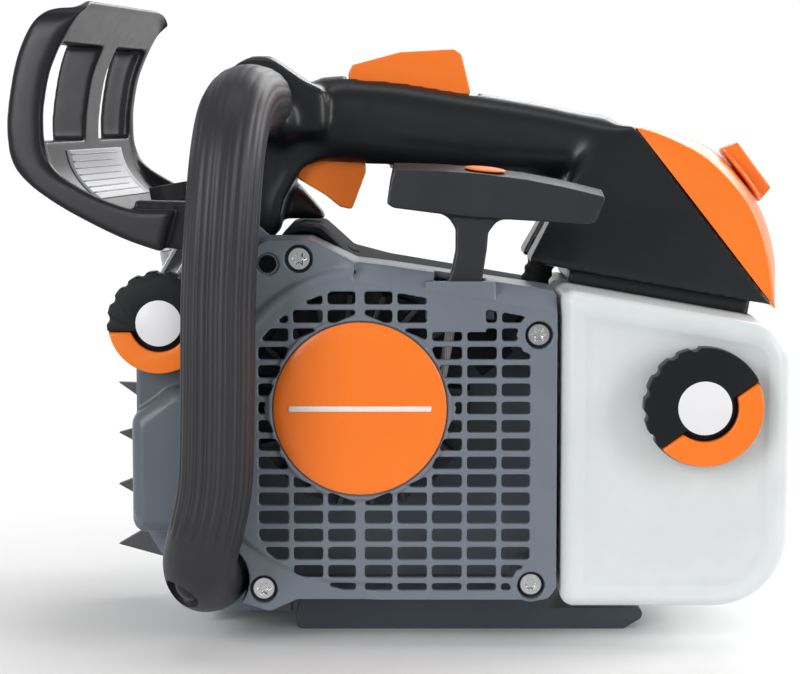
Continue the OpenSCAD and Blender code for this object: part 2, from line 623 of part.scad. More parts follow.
// Half-round bail, hinged on the two stubs of its straight edge.
module cap_bail(r) rotate([0, -35, 0]) difference() {
    union() {
        translate([-r, 0.2, -r]) cube([2 * r, 2.8, r - 4.6]);
        translate([-r, 1.6, -4.6]) rotate([0, 90, 0]) cylinder(r = 1.4, h = 2 * r);
    }
    rod_y(0, 0, r * 0.56, -1, 9);
    rotate([90, 0, 0]) difference() {
        cylinder(r = r * 2, h = 40, center = true);
        cylinder(r = r - 0.4, h = 50, center = true);
    }
}
module cap_seal(hole_r) ring_y(0, 0, hole_r - 0.05, hole_r - 1.55, 10.4, 12.6);
module on_fuel_cap() translate([fuel_cap_pos[0], -83, fuel_cap_pos[1]]) children();
module on_oil_cap() translate([oil_cap_pos[0], -56.2, oil_cap_pos[1]]) rotate([0, 35, 0]) children();

module fuel_cap() color("#1c1c1e") on_fuel_cap() cap_body(fuel_cap_r, fuel_hole_r);
module fuel_cap_bail() color("darkorange") on_fuel_cap() cap_bail(fuel_cap_r);
module fuel_cap_seal() color("black") on_fuel_cap() cap_seal(fuel_hole_r);
module oil_cap() color("#1c1c1e") on_oil_cap() cap_body(oil_cap_r, oil_hole_r);
module oil_cap_bail() color("darkorange") on_oil_cap() cap_bail(oil_cap_r);
module oil_cap_seal() color("black") on_oil_cap() cap_seal(oil_hole_r);

module tank_outline() polygon([[56.5, 19], [61, 14.4], [112, 14.4], [123, 18], [131, 26], [135, 36], [136.7, 60],
    [136.7, 100], [134, 108], [127, 113.8], [118, 116.2], [61, 126.2], [56.5, 123]]);
module fuel_tank() color("whitesmoke") difference() {
    union() {
        plate(-68, 24) tank_outline();
        hull() {
            plate(-68.4, -68) tank_outline();
            plate(-74.2, -74) offset(delta = -5.5) tank_outline();
        }
        hull() {
            plate(24, 24.4) tank_outline();
            plate(29.8, 30) offset(delta = -5.5) tank_outline();
        }
    }
    plate(-70.5, 27) offset(delta = -tank_wall) tank_outline();
    rod_y(fuel_cap_pos[0], fuel_cap_pos[1], fuel_hole_r, -80, -66);
}

module fuel_pickup() color("black") {
    sweep(smooth([[62, -10, 110], [70, -14, 96], [72, -22, 70], [78, -28, 44], [88, -30, 30]], 4), 2.4, 8, [0, 1, 0]);
    translate([92, -30, 27]) rotate([0, 90, 0]) cylinder(r = 6.5, h = 16, center = true);
}

// ---------- handles ----------
bar_path = smooth([[-66, -50.2, 24], [-67.5, -60, 23.6], [-69.5, -73, 26.5], [-69.5, -84, 34], [-66.5, -90, 46],
    [-63.5, -91.5, 62], [-62.5, -92, 90], [-62, -92, 124], [-60.5, -91.5, 152], [-59, -88, 172], [-57.4, -79.5, 185],
    [-55.6, -68, 190.8], [-53.9, -55, 192.5], [-52.26, -21, 192.5]], 3);
tube_path = concat(bar_path, [[-51.5, -2, 192.5], [-49.98, 36, 192.5]]);
module handlebar() color("gray") sweep_hollow(tube_path, tube_r, tube_r - tube_wall, 16, [1, 0, 0]);
module handlebar_grip() color("#303033") sweep_hollow(bar_path, sleeve_r, tube_r + 0.15, 20, [1, 0, 0]);
module handlebar_screws() color("silver") {
    // plug that closes the tube's right end, and the two screws of the handle's post
    translate([-49.98, 36.1, 192.5]) rotate([0, 0, -2.3]) rotate([-90, 0, 0]) cylinder(r = 10.5, h = 4);
    for (y = [-7, 7]) translate([-64, y, 157]) rotate([0, 90, 0]) cylinder(r = 3.6, h = 2.9, $fn = 6);
}

// Smooth section of the top handle at x: centre height, half height, half width.
module grip_section(x, z, hz, hy) translate([x, 0, z]) rotate([0, 90, 0]) scale([hz / 10, hy / 10, 1])
    cylinder(r = 10, h = 0.6, center = true, $fn = 32);

module housing_solid(d) hull() {
    rear_frame() translate([-9.4 + 1.4 * d, -36 + d, 3.2 + d]) cube([92, 72 - 2 * d, 2]);
    translate([73.5 + 0.6 * d, -17 + d, 182 - d]) cube([14, 34 - 2 * d, 1.6]);
}

module top_handle() color("#222224") difference() {
    union() {
        hull() {
            grip_section(-33, 184.5, 15, 13.5);
            grip_section(-18, 185, 16.6, 16);
        }
        hull() {
            grip_section(-18, 185, 16.6, 16);
            grip_section(24, 180.4, 15.4, 16.5);
        }
        hull() {
            grip_section(24, 180.4, 15.4, 16.5);
            grip_section(74, 174.6, 12.4, 17);
        }
        difference() {
            housing_solid(0);
            housing_solid(wall);
        }
        // front post and the clamp round the front handle
        plate(-13, 13) rounded(3) polygon([[-60, 141.5], [-45.7, 141.5], [-42.7, 156], [-36, 168], [-24, 172], [-24, 186],
            [-58, 190], [-61, 165]]);
        plate(12.5, 22) polygon([[-50, 147.6], [-50, 160], [-41.5, 161.5], [-40, 162.8], [-29, 150], [-28.6, 147.6]]);
        plate(-19.6, 27) rounded(3) polygon([[-60, 178], [-66, 184], [-66, 198], [-61, 205.5], [-55, 209.2], [-48, 209.2],
            [-34, 199.5], [-27, 197], [-27, 180]]);
    }
    // half-space of the filter cover
    plane_frame() translate([-70, -60, 0]) cube([140, 120, 80]);
    translate([-51.5, -2, 192.5]) rotate([0, 0, -2.29]) rotate([90, 0, 0]) cylinder(r = tube_r + 0.1, h = 70, center = true);
    // wells of the trigger, the interlock and the control lever
    translate([-40, -7.5, 160]) cube([36, 15, 25]);
    translate([-20, -8, 184.8]) cube([49, 16, 40]);
    translate([-30.4, 13.2, 182]) cube([15, 3.4, 32]);
    // duct of the intake and the throttle link
    translate([44, -11, 128]) cube([30, 22, 29.6]);
    translate([-10, -2.5, 171]) cube([90, 5, 6]);
    translate([66, -19, 136]) cube([22, 38, 27.5]);
}

module av_mounts() color("#1a1a1a") {
    translate([-53, 0, 138]) cylinder(r = 6.5, h = 3.4);
    difference() {
        rear_frame() for (p = [[15, -22], [15, 22], [66, -22]]) translate([p[0], p[1], -2.9])
            cylinder(r = 8, h = 6.05);
        plate(-80, 40) tank_outline();
    }
    for (y = [-24, 10]) translate([54.05, y, 45]) rotate([0, 90, 0]) cylinder(r = 9, h = 2.4);
}

module cover_solid(d) plane_frame() hull() {
    translate([-39 + d, -15 + d, -1]) cube([3, 30 - 2 * d, 2.4]);
    translate([38 - d, -34.5 + d, -1]) cube([4.4, 69 - 2 * d, 3]);
    for (y = [-1, 1]) {
        translate([-18, y * (18 - d), 15.2 - d]) sphere(r = 4, $fn = 24);
        translate([0, y * (24 - d), 17 - d]) sphere(r = 4, $fn = 24);
        translate([15, y * (28 - d), 15 - d]) sphere(r = 4, $fn = 24);
        translate([35 - d, y * (30.5 - d), 6.6 - d]) sphere(r = 4, $fn = 24);
    }
}
module filter_cover() color("darkorange") difference() {
    cover_solid(0);
    cover_solid(wall);
    plane_frame() translate([-70, -60, -40]) cube([140, 120, 40.2]);
    plane_frame() translate([-1, 0, 0]) cylinder(r = 4.06, h = 40);
}
module cover_knob() color("darkorange") plane_frame() translate([-1, 0, 0]) {
    translate([0, 0, 14]) cylinder(r = 4, h = 8);
    difference() {
        translate([0, 0, knob_foot]) cylinder(r1 = 12.6, r2 = 11, h = 7);
        for (y = [-1, 1]) translate([-20, y * 10 - 6, knob_foot + 1.5]) cube([40, 12, 10]);
    }
}

module throttle_trigger() color("darkorange") difference() {
    plate(-7, 7) rounded(1.2) polygon([[-38.4, 163.6], [-37.4, 179], [-30, 180.2], [-13.4, 172.8], [-12.8, 166],
        [-18, 152], [-22.5, 153], [-28.1, 157.5]]);
    rod_y(trigger_pivot[0], trigger_pivot[1], 2.05, -10, 10);
}
module throttle_interlock() color("darkorange") difference() {
    plate(-7, 7) rounded(1.2) polygon([[-18.6, 194.4], [-19.4, 202.6], [-17.9, 205.9], [0, 210.7], [20.5, 211.8],
        [23.1, 209.6], [26.6, 195], [16, 192.6]]);
    rod_y(interlock_pivot[0], interlock_pivot[1], 2.05, -10, 10);
}
// Pins of the trigger and the interlock, and the rod to the carburetor.
module throttle_link() color("silver") {
    rod_y(trigger_pivot[0], trigger_pivot[1], 2, -7.45, 7.45);
    rod_y(interlock_pivot[0], interlock_pivot[1], 2, -7.95, 7.95);
    sweep(smooth([[-9, 0, 174], [20, 0, 173.6], [50, 0, 173.6], [64, 0, 173.4]], 2), 1.2, 8);
}
module control_lever() color("#2b2b2e") difference() {
    plate(13.6, 16.2) rounded(1) polygon([[-29.6, 184], [-24.6, 184], [-24.4, 193], [-22.4, 198.6], [-26.5, 199.4],
        [-29.2, 193]]);
    rod_y(lever_pivot[0], lever_pivot[1], 1.2, 10, 20);
}

// Curved side outline of the hand guard. The front edge is the free rim, the rear edge the skin.
guard_front = [[-110, 227.4], [-118, 222.7], [-122.6, 216.4], [-127.1, 205.3], [-129.9, 190.3], [-130.3, 180.8],
    [-129.3, 172.8], [-125.9, 166.4], [-115.8, 158.4], [-103.5, 151.3], [-87.7, 143.9], [-74, 139.4]];
guard_rear = [[-98, 225.6], [-104.4, 219.5], [-109.4, 210.5], [-114.1, 201.5], [-116.4, 190.3], [-116.8, 185.4],
    [-116.2, 174.5], [-112.6, 167.2], [-96.4, 158.4], [-81.3, 153.3], [-70, 154]];
function toward(p, q, d) = p + unit(q - p) * d;
module guard_band() polygon(concat(guard_front, [for (i = [len(guard_rear) - 1:-1:0]) guard_rear[i]]));
module guard_skin() polygon(concat(guard_rear, [for (i = [len(guard_rear) - 1:-1:0])
    toward(guard_rear[i], guard_front[i], 3)]));

module guard_frame() translate([-112, 3, 0]) rotate([0, 0, -guard_turn]) translate([112, 0, 0]) children();

module hand_guard() color("#2c2c2f") difference() {
    union() {
        guard_frame() {
            difference() {
                plate(-guard_half + 1, guard_half - 1) guard_skin();
                // gap between the arms, round the spark plug's boot
                plate(-38, 46) polygon([[-98, 140], [-92, 172], [-50, 172], [-50, 130]]);
            }
            for (y = [-guard_half, guard_half - 4]) plate(y, y + 4) guard_band();
            intersection() {
                plate(-guard_half, guard_half) guard_band();
                union() {
                    translate([-140, -guard_half, 214]) cube([60, 2 * guard_half, 3.5]);
                    translate([-140, -6, 176]) cube([60, 4, 40]);
                    translate([-140, 9, 176]) cube([60, 4, 40]);
                    translate([-140, -guard_half, 174.5]) cube([60, 2 * guard_half, 3.5]);
                }
            }
        }
        // arms round the pivots
        plate(-59.6, -51.4) {
            translate(guard_pivot) circle(r = 9);
            polygon([[-68, 139.2], [-68, 156.9], [-94, 157.5], [-92, 144.5], [-82, 140.5]]);
        }
        plate(47.4, 55.6) {
            translate(guard_pivot) circle(r = 9);
            polygon([[-68, 139.2], [-67, 156.9], [-86, 160.5], [-90, 151]]);
        }
    }
    // windows
    guard_frame() {
        translate([-150, -guard_half + 4, 178]) cube([60, guard_half - 10, 36]);
        translate([-150, 13, 178]) cube([60, guard_half - 17, 36]);
    }
    rod_y(guard_pivot[0], guard_pivot[1], 3.96, -70, 70);
    // room for the lugs of the crankcase
    translate([-90, -51.2, 130]) cube([60, 98.4, 36]);
}

crankcase_left();
crankcase_right();
base_plate();
main_bearings();
crankshaft();
connecting_rod();
piston();
cylinder_node();  // cylinder
cylinder_shroud();
spark_plug();
ignition_lead();
ignition_module();
flywheel();
muffler();
intake_boot();
carburetor();
air_filter();
fan_cover();
cover_badge();
cover_screws();
rope_rotor();
rope_coil();
recoil_spring();
starter_rope();
starter_grip();
starter_grip_insert();
clutch();
clutch_drum();
brake_band();
brake_lever();
oil_pump();
oil_pickup();
side_plate();
tensioner_screw();
tensioner_pin();
bar_stud();
bar_nut();
sprocket_cover();
bumper_spike();
oil_tank();
oil_cap();
oil_cap_bail();
oil_cap_seal();
fuel_tank();
fuel_cap();
fuel_cap_bail();
fuel_cap_seal();
fuel_pickup();
handlebar();
handlebar_grip();
handlebar_screws();
top_handle();
av_mounts();
filter_cover();
cover_knob();
throttle_trigger();
throttle_interlock();
throttle_link();
control_lever();
hand_guard();
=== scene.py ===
"""Looks of the top-handle chainsaw powerhead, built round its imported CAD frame.

Sizes are in millimetres and are turned into metres by MM where a mesh is made.
"""
import json
import math

import bmesh
import bpy
import numpy as np
from mathutils import Matrix, Vector
from mathutils.noise import noise

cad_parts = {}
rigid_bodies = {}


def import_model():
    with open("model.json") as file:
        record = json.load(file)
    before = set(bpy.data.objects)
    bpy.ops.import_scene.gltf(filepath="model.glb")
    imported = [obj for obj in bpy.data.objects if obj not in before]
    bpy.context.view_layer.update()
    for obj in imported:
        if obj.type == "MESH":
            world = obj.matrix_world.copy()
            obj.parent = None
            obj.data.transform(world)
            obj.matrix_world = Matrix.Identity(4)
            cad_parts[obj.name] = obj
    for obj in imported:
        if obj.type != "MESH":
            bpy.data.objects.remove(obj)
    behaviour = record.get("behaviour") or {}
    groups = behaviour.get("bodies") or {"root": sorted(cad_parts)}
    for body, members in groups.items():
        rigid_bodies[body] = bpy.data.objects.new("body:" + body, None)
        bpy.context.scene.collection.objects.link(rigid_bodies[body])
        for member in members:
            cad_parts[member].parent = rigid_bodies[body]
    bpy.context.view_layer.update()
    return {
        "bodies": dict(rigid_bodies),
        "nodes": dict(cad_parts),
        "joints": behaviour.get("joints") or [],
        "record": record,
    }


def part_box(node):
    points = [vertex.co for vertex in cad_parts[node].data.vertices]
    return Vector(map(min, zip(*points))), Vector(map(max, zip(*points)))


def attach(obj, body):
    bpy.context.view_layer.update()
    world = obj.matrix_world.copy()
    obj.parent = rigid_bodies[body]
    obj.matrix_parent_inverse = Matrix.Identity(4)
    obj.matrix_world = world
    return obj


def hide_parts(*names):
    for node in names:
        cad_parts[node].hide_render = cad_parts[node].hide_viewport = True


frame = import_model()
nodes = frame["nodes"]
MM = 0.001


# ---------------------------------------------------------------- camera, light, floor
CAMERA_DISTANCE = 900
CAMERA_HEIGHT = 190
CAMERA_PITCH = 5.5
CAMERA_LENS = 107.1
WORLD_FRONT = 0.48
WORLD_BACK = 1.04
WORLD_TOP = 0.45
FLOOR_RADIUS = 400


def make_camera():
    data = bpy.data.cameras.new("camera")
    data.lens = CAMERA_LENS
    data.clip_start = 0.01
    camera = bpy.data.objects.new("camera", data)
    camera.location = (0, -CAMERA_DISTANCE * MM, CAMERA_HEIGHT * MM)
    camera.rotation_euler = (math.radians(90 - CAMERA_PITCH), 0, 0)
    bpy.context.scene.collection.objects.link(camera)
    bpy.context.scene.camera = camera


def area_light(name, place, aim, size, power):
    data = bpy.data.lights.new(name, "AREA")
    data.shape = "RECTANGLE"
    data.size, data.size_y = size
    data.energy = power
    light = bpy.data.objects.new(name, data)
    light.location = place
    light.rotation_euler = (Vector(aim) - Vector(place)).to_track_quat("-Z", "Y").to_euler()
    bpy.context.scene.collection.objects.link(light)


def make_studio():
    """White surroundings behind the object, dim ones behind the camera, and soft boxes between."""
    scene = bpy.context.scene
    scene.view_settings.view_transform = "Standard"
    world = bpy.data.worlds.new("studio")
    world.use_nodes = True
    tree = world.node_tree
    direction = add(tree, "ShaderNodeTexCoord")
    split = add(tree, "ShaderNodeSeparateXYZ")
    tree.links.new(direction.outputs["Generated"], split.inputs["Vector"])
    level = ramp(tree, split.outputs["Y"], WORLD_FRONT, WORLD_BACK, -0.1, 0.75)
    dimmed = add(tree, "ShaderNodeMath", operation="MULTIPLY")
    tree.links.new(level, dimmed.inputs[0])
    tree.links.new(ramp(tree, split.outputs["Z"], 1, WORLD_TOP, 0.3, 0.8), dimmed.inputs[1])
    tree.links.new(dimmed.outputs["Value"], tree.nodes["Background"].inputs["Strength"])
    tree.nodes["Background"].inputs["Color"].default_value = (1, 1, 1, 1)
    scene.world = world
    middle = (0, 0, 0.1)
    area_light("key", (-0.80, -1.05, 0.50), middle, (0.55, 0.8), 10.5)
    area_light("side", (1.1, -0.75, 0.40), middle, (0.4, 0.9), 7.5)
    area_light("top", (0.0, -0.1, 1.3), middle, (0.9, 0.4), 2.2)
    area_light("rim", (0.5, 1.1, 0.8), middle, (0.9, 0.4), 6)
    area_light("right", (1.25, 0.35, 0.65), (-0.05, 0, 0.18), (0.5, 0.5), 8)
    bpy.ops.mesh.primitive_circle_add(vertices=128, radius=FLOOR_RADIUS * MM, fill_type="NGON", location=(0, 0, 0))
    floor = bpy.context.object
    floor.name = "floor"
    floor.data.materials.append(floor_material())


# ---------------------------------------------------------------- materials
def shader(name):
    """A new material, and its node tree's pieces."""
    material = bpy.data.materials.new(name)
    material.use_nodes = True
    tree = material.node_tree
    return material, tree, tree.nodes["Principled BSDF"]


def add(tree, kind, **settings):
    node = tree.nodes.new(kind)
    for key, value in settings.items():
        if hasattr(node, key):
            setattr(node, key, value)
        else:
            node.inputs[key].default_value = value
    return node


def noise_node(tree, scale, detail=3.0, roughness=0.6, stretch=None):
    coord = add(tree, "ShaderNodeTexCoord")
    tex = add(tree, "ShaderNodeTexNoise", Scale=scale, Detail=detail, Roughness=roughness)
    if stretch:
        mapping = add(tree, "ShaderNodeMapping")
        mapping.inputs["Scale"].default_value = stretch
        tree.links.new(coord.outputs["Object"], mapping.inputs["Vector"])
        tree.links.new(mapping.outputs["Vector"], tex.inputs["Vector"])
    else:
        tree.links.new(coord.outputs["Object"], tex.inputs["Vector"])
    return tex


def ramp(tree, source, low, high, start=0.3, stop=0.7):
    node = add(tree, "ShaderNodeMapRange")
    node.inputs["From Min"].default_value = start
    node.inputs["From Max"].default_value = stop
    node.inputs["To Min"].default_value = low
    node.inputs["To Max"].default_value = high
    tree.links.new(source, node.inputs["Value"])
    return node.outputs["Result"]


def colour_mix(tree, factor, first, second, blend="MIX"):
    node = add(tree, "ShaderNodeMix", data_type="RGBA", blend_type=blend)
    for socket, value in ((6, first), (7, second)):
        if isinstance(value, tuple):
            node.inputs[socket].default_value = (*value, 1)
        else:
            tree.links.new(value, node.inputs[socket])
    if isinstance(factor, float):
        node.inputs[0].default_value = factor
    else:
        tree.links.new(factor, node.inputs[0])
    return node.outputs[2]


def add_bump(tree, bsdf, heights):
    """Chains bumps: each entry is (height socket, strength, distance in mm)."""
    last = None
    for height, strength, distance in heights:
        bump = add(tree, "ShaderNodeBump", Strength=strength, Distance=distance * MM)
        tree.links.new(height, bump.inputs["Height"])
        if last:
            tree.links.new(last.outputs["Normal"], bump.inputs["Normal"])
        last = bump
    tree.links.new(last.outputs["Normal"], bsdf.inputs["Normal"])


def plastic(name, colour, rough, grain=1500, grain_depth=0.03, variation=0.10, wear=0.25, coat=0.0,
            gloss=0.4):
    """Moulded plastic: fine spark-eroded grain, slow colour and gloss changes, paler rubbed edges."""
    material, tree, bsdf = shader(name)
    slow = noise_node(tree, 28, 4)
    fine = noise_node(tree, grain, 2)
    scuff = noise_node(tree, 240, 5, 0.7)
    dark = tuple(c * (1 - variation) for c in colour)
    light = tuple(min(1, c * (1 + variation)) for c in colour)
    base = colour_mix(tree, ramp(tree, slow.outputs["Fac"], 0, 1), dark, light)
    edge = add(tree, "ShaderNodeNewGeometry")
    rubbed = ramp(tree, edge.outputs["Pointiness"], 0, wear, 0.53, 0.62)
    pale = tuple(min(1, c * 1.6 + 0.06) for c in colour)
    base = colour_mix(tree, rubbed, base, pale)
    tree.links.new(base, bsdf.inputs["Base Color"])
    tree.links.new(ramp(tree, scuff.outputs["Fac"], rough - 0.03, rough + 0.04), bsdf.inputs["Roughness"])
    bsdf.inputs["Specular IOR Level"].default_value = gloss
    bsdf.inputs["Coat Weight"].default_value = coat
    bsdf.inputs["Coat Roughness"].default_value = 0.22
    scuff_depth = min(0.03, 2 * grain_depth)
    add_bump(tree, bsdf, [(fine.outputs["Fac"], 0.5, grain_depth), (scuff.outputs["Fac"], 0.12, scuff_depth)])
    return material


def metal(name, colour, rough, stretch=None, scale=420, depth=0.03, metallic=1.0, variation=0.15,
          spread=0.09):
    """Cast or brushed metal: stretched noise gives the brushing, even noise the cast skin."""
    material, tree, bsdf = shader(name)
    skin = noise_node(tree, scale, 4, 0.65, stretch)
    stain = noise_node(tree, 45, 4)
    dark = tuple(c * (1 - variation) for c in colour)
    tree.links.new(colour_mix(tree, ramp(tree, stain.outputs["Fac"], 0, 1), dark, colour), bsdf.inputs["Base Color"])
    tree.links.new(ramp(tree, skin.outputs["Fac"], rough - spread, rough + spread), bsdf.inputs["Roughness"])
    bsdf.inputs["Metallic"].default_value = metallic
    add_bump(tree, bsdf, [(skin.outputs["Fac"], 0.5, depth)])
    return material


def tank_material():
    """Milky translucent polyethylene."""
    material, tree, bsdf = shader("tank_plastic")
    cloud = noise_node(tree, 22, 4)
    fine = noise_node(tree, 900, 2)
    base = colour_mix(tree, ramp(tree, cloud.outputs["Fac"], 0, 1), (0.625, 0.655, 0.655), (0.70, 0.725, 0.725))
    tree.links.new(base, bsdf.inputs["Base Color"])
    bsdf.inputs["Subsurface Weight"].default_value = 0.45
    bsdf.inputs["Subsurface Radius"].default_value = (0.012, 0.013, 0.013)
    bsdf.inputs["Subsurface Scale"].default_value = 0.6
    tree.links.new(ramp(tree, fine.outputs["Fac"], 0.30, 0.40), bsdf.inputs["Roughness"])
    add_bump(tree, bsdf, [(fine.outputs["Fac"], 0.35, 0.03), (cloud.outputs["Fac"], 0.15, 0.4)])
    return material


def fibre_material(name, colour, scale, depth):
    """Felt and braided rope."""
    material, tree, bsdf = shader(name)
    coord = add(tree, "ShaderNodeTexCoord")
    weave = add(tree, "ShaderNodeTexWave", Scale=scale, Distortion=3.0, Detail=2.0)
    tree.links.new(coord.outputs["Object"], weave.inputs["Vector"])
    dark = tuple(c * 0.7 for c in colour)
    tree.links.new(colour_mix(tree, weave.outputs["Fac"], dark, colour), bsdf.inputs["Base Color"])
    bsdf.inputs["Roughness"].default_value = 0.9
    bsdf.inputs["Sheen Weight"].default_value = 0.3
    add_bump(tree, bsdf, [(weave.outputs["Fac"], 0.8, depth)])
    return material


def floor_material():
    """Matt white paper that fades out to the white surroundings round the object."""
    material, tree, bsdf = shader("floor_paper")
    place = add(tree, "ShaderNodeTexCoord")
    reach = add(tree, "ShaderNodeVectorMath", operation="LENGTH")
    tree.links.new(place.outputs["Object"], reach.inputs[0])
    tooth = noise_node(tree, 500, 3)
    bsdf.inputs["Base Color"].default_value = (0.93, 0.93, 0.93, 1)
    bsdf.inputs["Roughness"].default_value = 0.6
    bsdf.inputs["Specular IOR Level"].default_value = 0.2
    tree.links.new(ramp(tree, reach.outputs["Value"], 1, 0, 0.13, 0.32), bsdf.inputs["Alpha"])
    add_bump(tree, bsdf, [(tooth.outputs["Fac"], 0.2, 0.02)])
    return material


def make_materials():
    return {
        "slate": plastic("slate_plastic", (0.150, 0.172, 0.205), 0.38, grain_depth=0.02, variation=0.06),
        "tub": plastic("tub_plastic", (0.112, 0.130, 0.158), 0.36, grain_depth=0.02, variation=0.06),
        "base": plastic("base_plastic", (0.050, 0.061, 0.078), 0.42, grain_depth=0.02, variation=0.06),
        "black": plastic("black_plastic", (0.010, 0.011, 0.013), 0.33, grain_depth=0.008, wear=0.04),
        "cap": plastic("cap_plastic", (0.006, 0.007, 0.008), 0.40, grain_depth=0.01, wear=0.04, gloss=0.25),
        "guard": plastic("guard_plastic", (0.014, 0.014, 0.018), 0.32, grain_depth=0.0006, variation=0.03, wear=0.0,
                         gloss=0.28),
        "dark": plastic("dark_plastic", (0.020, 0.021, 0.025), 0.42, grain_depth=0.012, variation=0.05, wear=0.1),
        "deck": plastic("deck_plastic", (0.014, 0.015, 0.018), 0.7, grain_depth=0.02, wear=0.03, gloss=0.05),
        "rubber": plastic("grip_rubber", (0.022, 0.022, 0.027), 0.46, grain=1100, grain_depth=0.03, wear=0.1),
        "soft": plastic("hose_rubber", (0.02, 0.02, 0.02), 0.6, grain=900, gloss=0.2),
        "orange": plastic("orange_plastic", (0.92, 0.190, 0.012), 0.30, grain_depth=0.004, variation=0.025, wear=0.08,
                          coat=0.15),
        "amber": plastic("trigger_plastic", (0.92, 0.20, 0.014), 0.38, grain_depth=0.008, variation=0.03, wear=0.08),
        "white": plastic("white_plastic", (0.78, 0.78, 0.80), 0.35, grain_depth=0.006, variation=0.02, wear=0),
        "label": plastic("label_film", (0.60, 0.60, 0.64), 0.30, grain_depth=0.004, variation=0.02, wear=0),
        "ink": plastic("label_ink", (0.44, 0.44, 0.48), 0.4, grain_depth=0.004, variation=0.02, wear=0),
        "tank": tank_material(),
        "alu": metal("cast_aluminium", (0.50, 0.51, 0.52), 0.42, scale=1400, depth=0.05),
        "dull": metal("dark_casting", (0.115, 0.12, 0.13), 0.55, scale=1200, depth=0.05, metallic=0.6),
        "steel": metal("turned_steel", (0.66, 0.66, 0.67), 0.24, (1, 9, 1), 2600, 0.006, spread=0.03),
        "zinc": metal("plated_steel", (0.42, 0.42, 0.44), 0.36, None, 1800, 0.012, spread=0.05),
        "spikes": metal("hardened_steel", (0.13, 0.13, 0.14), 0.42, None, 1500, 0.02, spread=0.05),
        "soot": metal("muffler_steel", (0.05, 0.047, 0.045), 0.55, None, 900, 0.05, 0.7, 0.4),
        "felt": fibre_material("filter_felt", (0.75, 0.73, 0.66), 300, 0.15),
        "rope": fibre_material("braided_rope", (0.70, 0.70, 0.66), 420, 0.2),
    }


# ---------------------------------------------------------------- mesh tools
def piece(name, mesh, body, material, replaced=()):
    """Puts a finished mesh on a CAD body, in place of the CAD nodes it stands for."""
    obj = bpy.data.objects.new(name, mesh)
    bpy.context.scene.collection.objects.link(obj)
    mesh.materials.clear()
    mesh.materials.append(material)
    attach(obj, body)
    if replaced:
        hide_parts(*replaced)
    return obj


def mesh_of(bm, name="mesh", sharp=40):
    """Turns a bmesh into a smooth-shaded mesh with sharp edges above an angle."""
    bmesh.ops.recalc_face_normals(bm, faces=bm.faces)
    mesh = bpy.data.meshes.new(name)
    bm.to_mesh(mesh)
    bm.free()
    mesh.shade_smooth()
    mesh.set_sharp_from_angle(angle=math.radians(sharp))
    return mesh


def modified(mesh, *steps, sharp=None):
    """The mesh after a list of (modifier type, settings) has been applied."""
    temp = bpy.data.objects.new("temp", mesh)
    bpy.context.scene.collection.objects.link(temp)
    for kind, settings in steps:
        modifier = temp.modifiers.new(kind.lower(), kind)
        for key, value in settings.items():
            setattr(modifier, key, value)
    graph = bpy.context.evaluated_depsgraph_get()
    result = bpy.data.meshes.new_from_object(temp.evaluated_get(graph))
    bpy.data.objects.remove(temp)
    result.shade_smooth()
    if sharp:
        result.set_sharp_from_angle(angle=math.radians(sharp))
    return result


def cad_bmesh(node):
    """A CAD node's surface with its seams welded and its flat faces joined."""
    bm = bmesh.new()
    bm.from_mesh(nodes[node].data)
    bmesh.ops.remove_doubles(bm, verts=bm.verts, dist=2e-6)
    bmesh.ops.dissolve_limit(bm, angle_limit=math.radians(0.6), verts=bm.verts, edges=bm.edges)
    return bm


def bevel_step(width, segments=2, angle=34):
    return ("BEVEL", {"width": width * MM, "segments": segments, "limit_method": "ANGLE",
                      "angle_limit": math.radians(angle), "use_clamp_overlap": False, "harden_normals": False})


def refined(node, body, material, width=0.35, segments=2, angle=34):
    """A CAD node with its edges rounded as moulding or machining leaves them."""
    mesh = mesh_of(cad_bmesh(node))
    mesh = modified(mesh, bevel_step(width, segments, angle), sharp=50)
    return piece(node + "_body", mesh, body, material, (node,))


def moulded(node, body, material, voxel, passes=3, extras=(), name=None):
    """A CAD node remeshed and relaxed, so that its joints and edges flow as in a moulding."""
    bm = cad_bmesh(node)
    for extra in extras:
        bm.from_mesh(extra)
    mesh = mesh_of(bm)
    mesh = modified(mesh, ("REMESH", {"mode": "VOXEL", "voxel_size": voxel * MM}),
                    ("SMOOTH", {"factor": 0.5, "iterations": passes}))
    return piece(name or node + "_body", mesh, body, material, (node,))


def rounded_polygon(corners, inset=0.0, steps=10):
    """Points of a convex outline of (x, z, radius) corners, moved inwards by inset."""
    points = []
    for i, (x, z, radius) in enumerate(corners):
        here = Vector((x, z))
        to_last = (Vector(corners[i - 1][:2]) - here).normalized()
        to_next = (Vector(corners[(i + 1) % len(corners)][:2]) - here).normalized()
        half = to_last.angle(to_next) / 2
        inward = (to_last + to_next).normalized()
        here = here + inward * (inset / math.sin(half))
        r = max(radius - inset, 0.4)
        centre = here + inward * (r / math.sin(half))
        begin = here + to_last * (r / math.tan(half)) - centre
        end = here + to_next * (r / math.tan(half)) - centre
        first = math.atan2(begin.y, begin.x)
        sweep = (math.atan2(end.y, end.x) - first + math.pi) % (2 * math.pi) - math.pi
        for k in range(steps + 1):
            a = first + sweep * k / steps
            points.append((centre.x + r * math.cos(a), centre.y + r * math.sin(a)))
    return points


def loft(rings, closed_ends=True):
    """A skin over rings of points, each with the same number of points, in millimetres."""
    bm = bmesh.new()
    rows = [[bm.verts.new((x * MM, y * MM, z * MM)) for x, y, z in ring] for ring in rings]
    n = len(rows[0])
    for a, b in zip(rows, rows[1:]):
        for k in range(n):
            bm.faces.new((a[k], a[(k + 1) % n], b[(k + 1) % n], b[k]))
    if closed_ends:
        bm.faces.new(rows[0][::-1])
        bm.faces.new(rows[-1])
    bmesh.ops.recalc_face_normals(bm, faces=bm.faces)
    return bm


